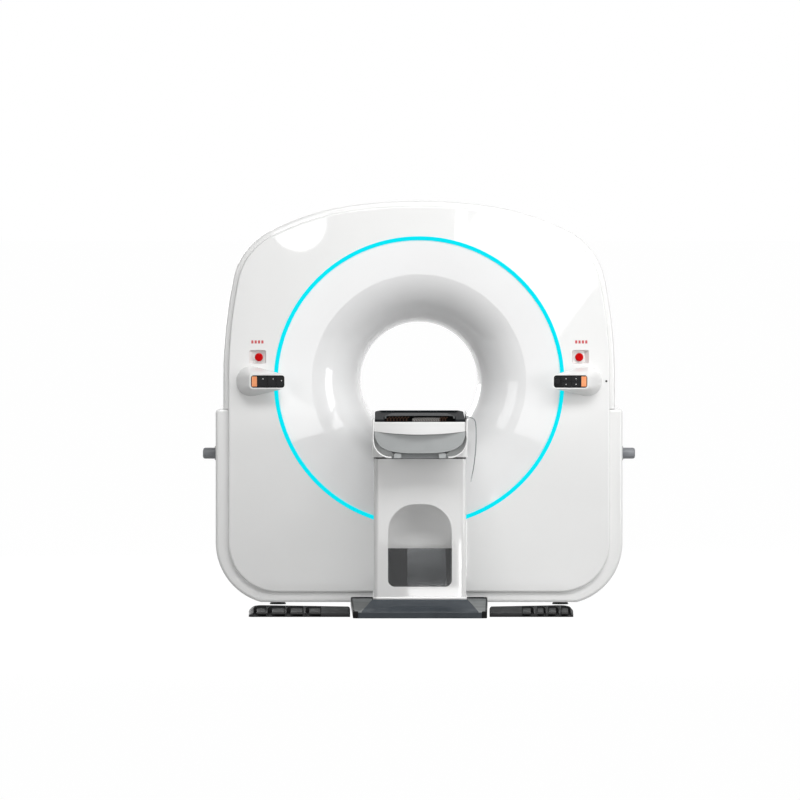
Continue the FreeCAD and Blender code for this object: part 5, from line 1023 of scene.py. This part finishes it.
# %% [markdown]
# ## Foot switches
# Each unit is a low moulded wedge that rises outward and ends in a round nose, with an open well for each pad. The
# CAD housing has wells too but a level back; a relief with the real slope stands for it here. Its height rule climbs
# from front to back, dips in the wells and falls away round the outer end.

# %% Foot switch housings: plan and height rule
UNIT_FRONT, UNIT_SHELF, UNIT_BACK, UNIT_START = -1.250, -1.124, -1.110, 0.331
UNIT_ENDS = {"left": 0.812, "right": 0.728}
UNIT_PADS = {"left": ((0.471, 0.542), (0.556, 0.632), (0.641, 0.722), (0.731, 0.788)),
             "right": ((0.487, 0.539), (0.559, 0.596), (0.610, 0.657), (0.672, 0.714))}
NOSE_HEIGHT, INNER_BACK, OUTER_BACK = 0.016, 0.0455, 0.0530
WELL_FRONT_HEIGHT, WELL_BACK_HEIGHT, PAD_GAP, WALL_RUN = 0.004, 0.018, 0.0015, 0.0002
END_REACH, START_REACH, FRONT_ROUND = 0.100, 0.012, 0.004
# shares of the full height that are left at the nose, at the inner corner and at the front lip, and what they gain
OUTER_LOW, OUTER_RISE, INNER_LOW, INNER_RISE, LIP_LOW, LIP_RISE = 0.49, 0.51, 0.70, 0.30, 0.55, 0.45


def end_share(x, end):
    """From 1 on the long stretch down to a low nose at the outer end, and a rounded corner at the inner one."""
    outer = min(max((end - x) / END_REACH, 0.0), 1.0)
    inner = min(max((x - UNIT_START) / START_REACH, 0.0), 1.0)
    nose = OUTER_LOW + OUTER_RISE * (1 - (1 - outer) ** 6)
    return nose * (INNER_LOW + INNER_RISE * math.sqrt(1 - (1 - inner) ** 2))


def housing_height(x, y, side):
    """A slope from the low front lip to the back, with a well under each pad."""
    end = UNIT_ENDS[side]
    slope = min(max((y - UNIT_FRONT) / (UNIT_SHELF - UNIT_FRONT), 0.0), 1.0)
    front = LIP_LOW + LIP_RISE * math.sqrt(1 - (1 - min((y - UNIT_FRONT) / FRONT_ROUND, 1.0)) ** 2)
    if y < UNIT_SHELF and any(x0 - PAD_GAP < x < x1 + PAD_GAP for x0, x1 in UNIT_PADS[side]):
        return (WELL_FRONT_HEIGHT + (WELL_BACK_HEIGHT - WELL_FRONT_HEIGHT) * slope) * front
    back = INNER_BACK + (OUTER_BACK - INNER_BACK) * (x - UNIT_START) / (end - UNIT_START)
    return (NOSE_HEIGHT + (back - NOSE_HEIGHT) * slope) * front * end_share(x, end)


def housing_place(x, share, side):
    """In plan the outer end is rounded, by the stretch past the last well."""
    corner = UNIT_ENDS[side] - UNIT_PADS[side][-1][1] - PAD_GAP
    past = max(x - UNIT_ENDS[side] + corner, 0.0)
    inset = corner - math.sqrt(max(corner ** 2 - past ** 2, 0.0))
    return UNIT_FRONT + inset + share * (UNIT_BACK - UNIT_FRONT - 2 * inset)


print("pads", [len(UNIT_PADS[side]) for side, _ in SIDES], "left and right")

# %% Foot switch housings
# rows as shares of the depth, close at the front lip and on both sides of the shelf's edge
shelf_share = (UNIT_SHELF - UNIT_FRONT) / (UNIT_BACK - UNIT_FRONT)
unit_rows = [0.0, 0.003, 0.008, 0.016, 0.03] + steps(0.08, shelf_share - 0.002, 10)
unit_rows += [shelf_share - 0.0002, shelf_share + 0.0002, 0.97, 1.0]
switch_rubber = surface("moulded_switch_rubber", ("101011", "171718"), 0.04, (0.5, 0.62), 0.003, 0.0001,
                        Specular_IOR_Level=0.2)
for side, way in SIDES:
    end = UNIT_ENDS[side]
    columns = steps(UNIT_START, UNIT_START + START_REACH, 6) + steps(UNIT_START + 0.03, end - 0.03, 24)
    columns += steps(end - 0.028, end, 14)
    for x0, x1 in UNIT_PADS[side]:
        columns += [x0 - PAD_GAP, x0 - PAD_GAP + WALL_RUN, x1 + PAD_GAP - WALL_RUN, x1 + PAD_GAP]
    columns.sort()
    columns = columns[:1] + [x for before, x in zip(columns, columns[1:]) if x - before > WALL_RUN / 3]
    housing = relief([way * x for x in columns], unit_rows,
                     lambda x, share: (x, housing_place(abs(x), share, side)),
                     lambda x, share: housing_height(abs(x), housing_place(abs(x), share, side), side),
                     lambda x, share: 0.0)
    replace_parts(finished("foot_switch_housing_" + side, housing, [switch_rubber], "machine"),
                "foot_switch_" + side)

# %% [markdown]
# ### Pads and guide ribs
# Each pad is a domed rubber plate that is pressed with the shoe. It leaves a dark gap at its outer side, and the
# edge of each well is a thin raised rib that runs back and bends inward at the top, which tells the foot where it
# is. The pads are reliefs again and ride on their own bodies; the ribs are swept by the edging tree.

# %% Pad and rib rules
PAD_FRONT, PAD_BACK, PAD_THICK = -1.2465, -1.1265, 0.0065
PAD_NOSE_TOP, PAD_BACK_TOP, PAD_DOME = 0.0215, 0.0385, 0.0012
PAD_ROLL, PAD_SIDE_ROLL, ROLL_DROP = 0.005, 0.1, 0.0030     # at the ends in metres, at the sides as a share
PAD_SHARE = 0.76                                            # how much of its well a pad fills
RIB_GAP, RIB_START, RIB_END, RIB_LOW, RIB_CLIMB = 0.0020, 0.003, 0.004, 0.0165, 0.0300
RIB_STRAIGHT, RIB_BEND, RIB_WIDTH, RIB_HEIGHT = 0.55, 0.018, 0.0040, 0.0050
pad_rubber = surface("grey_pad_rubber", ("232323", "2C2C2C"), 0.02, (0.5, 0.62), 0.002, 0.0001,
                     Specular_IOR_Level=0.25)
# painted highlight: the ribs' rubber is a lighter grey than the housing, drawing the bright line along each rib
rib_rubber_painted_highlight = surface("light_grey_rib_painted_highlight", ("3A3A3A", "464646"), 0.02, (0.5, 0.6), 0.002, 0.00005,
                     Specular_IOR_Level=0.25)


def pad_height(u, y):
    """A slope from the nose to the back, a dome across, and rolled edges."""
    slope = (y - PAD_FRONT) / (PAD_BACK - PAD_FRONT)
    edge = min(1 - abs(u), PAD_SIDE_ROLL) / PAD_SIDE_ROLL
    roll = min(y - PAD_FRONT, PAD_BACK - y, PAD_ROLL) / PAD_ROLL
    top = PAD_NOSE_TOP + (PAD_BACK_TOP - PAD_NOSE_TOP) * slope + PAD_DOME * (1 - u ** 2)
    return top - ROLL_DROP * (2 - math.sqrt(1 - (1 - edge) ** 2) - math.sqrt(1 - (1 - roll) ** 2))


def rib_line(edge, way):
    """The line of a rib beside a well: it climbs back along the well and bends inward at the top."""
    points = []
    for share in steps(0, 1, 12):
        bend = max(share - RIB_STRAIGHT, 0.0) / (1 - RIB_STRAIGHT)
        x = edge - RIB_BEND * (1 - math.sqrt(1 - bend ** 2))
        y = UNIT_FRONT + RIB_START + (UNIT_SHELF + RIB_END - UNIT_FRONT - RIB_START) * share
        points.append((way * x, y, RIB_LOW + RIB_CLIMB * share))
    return points


print("pad rises", round(pad_height(0, PAD_BACK - PAD_ROLL) - pad_height(0, PAD_FRONT + PAD_ROLL), 4), "m")

# %% Foot switch pads and ribs
pad_columns = [math.sin(math.pi / 2 * u) for u in steps(-1, 1, 14)]
pad_rows = [PAD_FRONT, PAD_FRONT + 0.0006, PAD_FRONT + 0.002] + steps(PAD_FRONT + 0.005, PAD_BACK - 0.005, 8)
pad_rows += [PAD_BACK - 0.002, PAD_BACK - 0.0006, PAD_BACK]
for side, way in SIDES:
    for number, (x0, x1) in enumerate(UNIT_PADS[side], 1):
        half = (x1 - x0) * PAD_SHARE / 2
        middle = way * (x0 + half)
        pad_mesh = relief(pad_columns, pad_rows, lambda u, y: (middle + half * u, y), pad_height,
                          lambda u, y: pad_height(0, y) - PAD_THICK)
        pad = finished("foot_pad_%s_%d" % (side, number), pad_mesh, [pad_rubber],
                       "pedal_%s_%d_body" % (side, number))
        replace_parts(pad, "pedal_%s_%d" % (side, number))
    sweep("foot_ribs_" + side, [rib_line(x1 + PAD_GAP + RIB_GAP, way) for x0, x1 in UNIT_PADS[side]], RIB_WIDTH,
          RIB_HEIGHT, rib_rubber_painted_highlight, "machine")
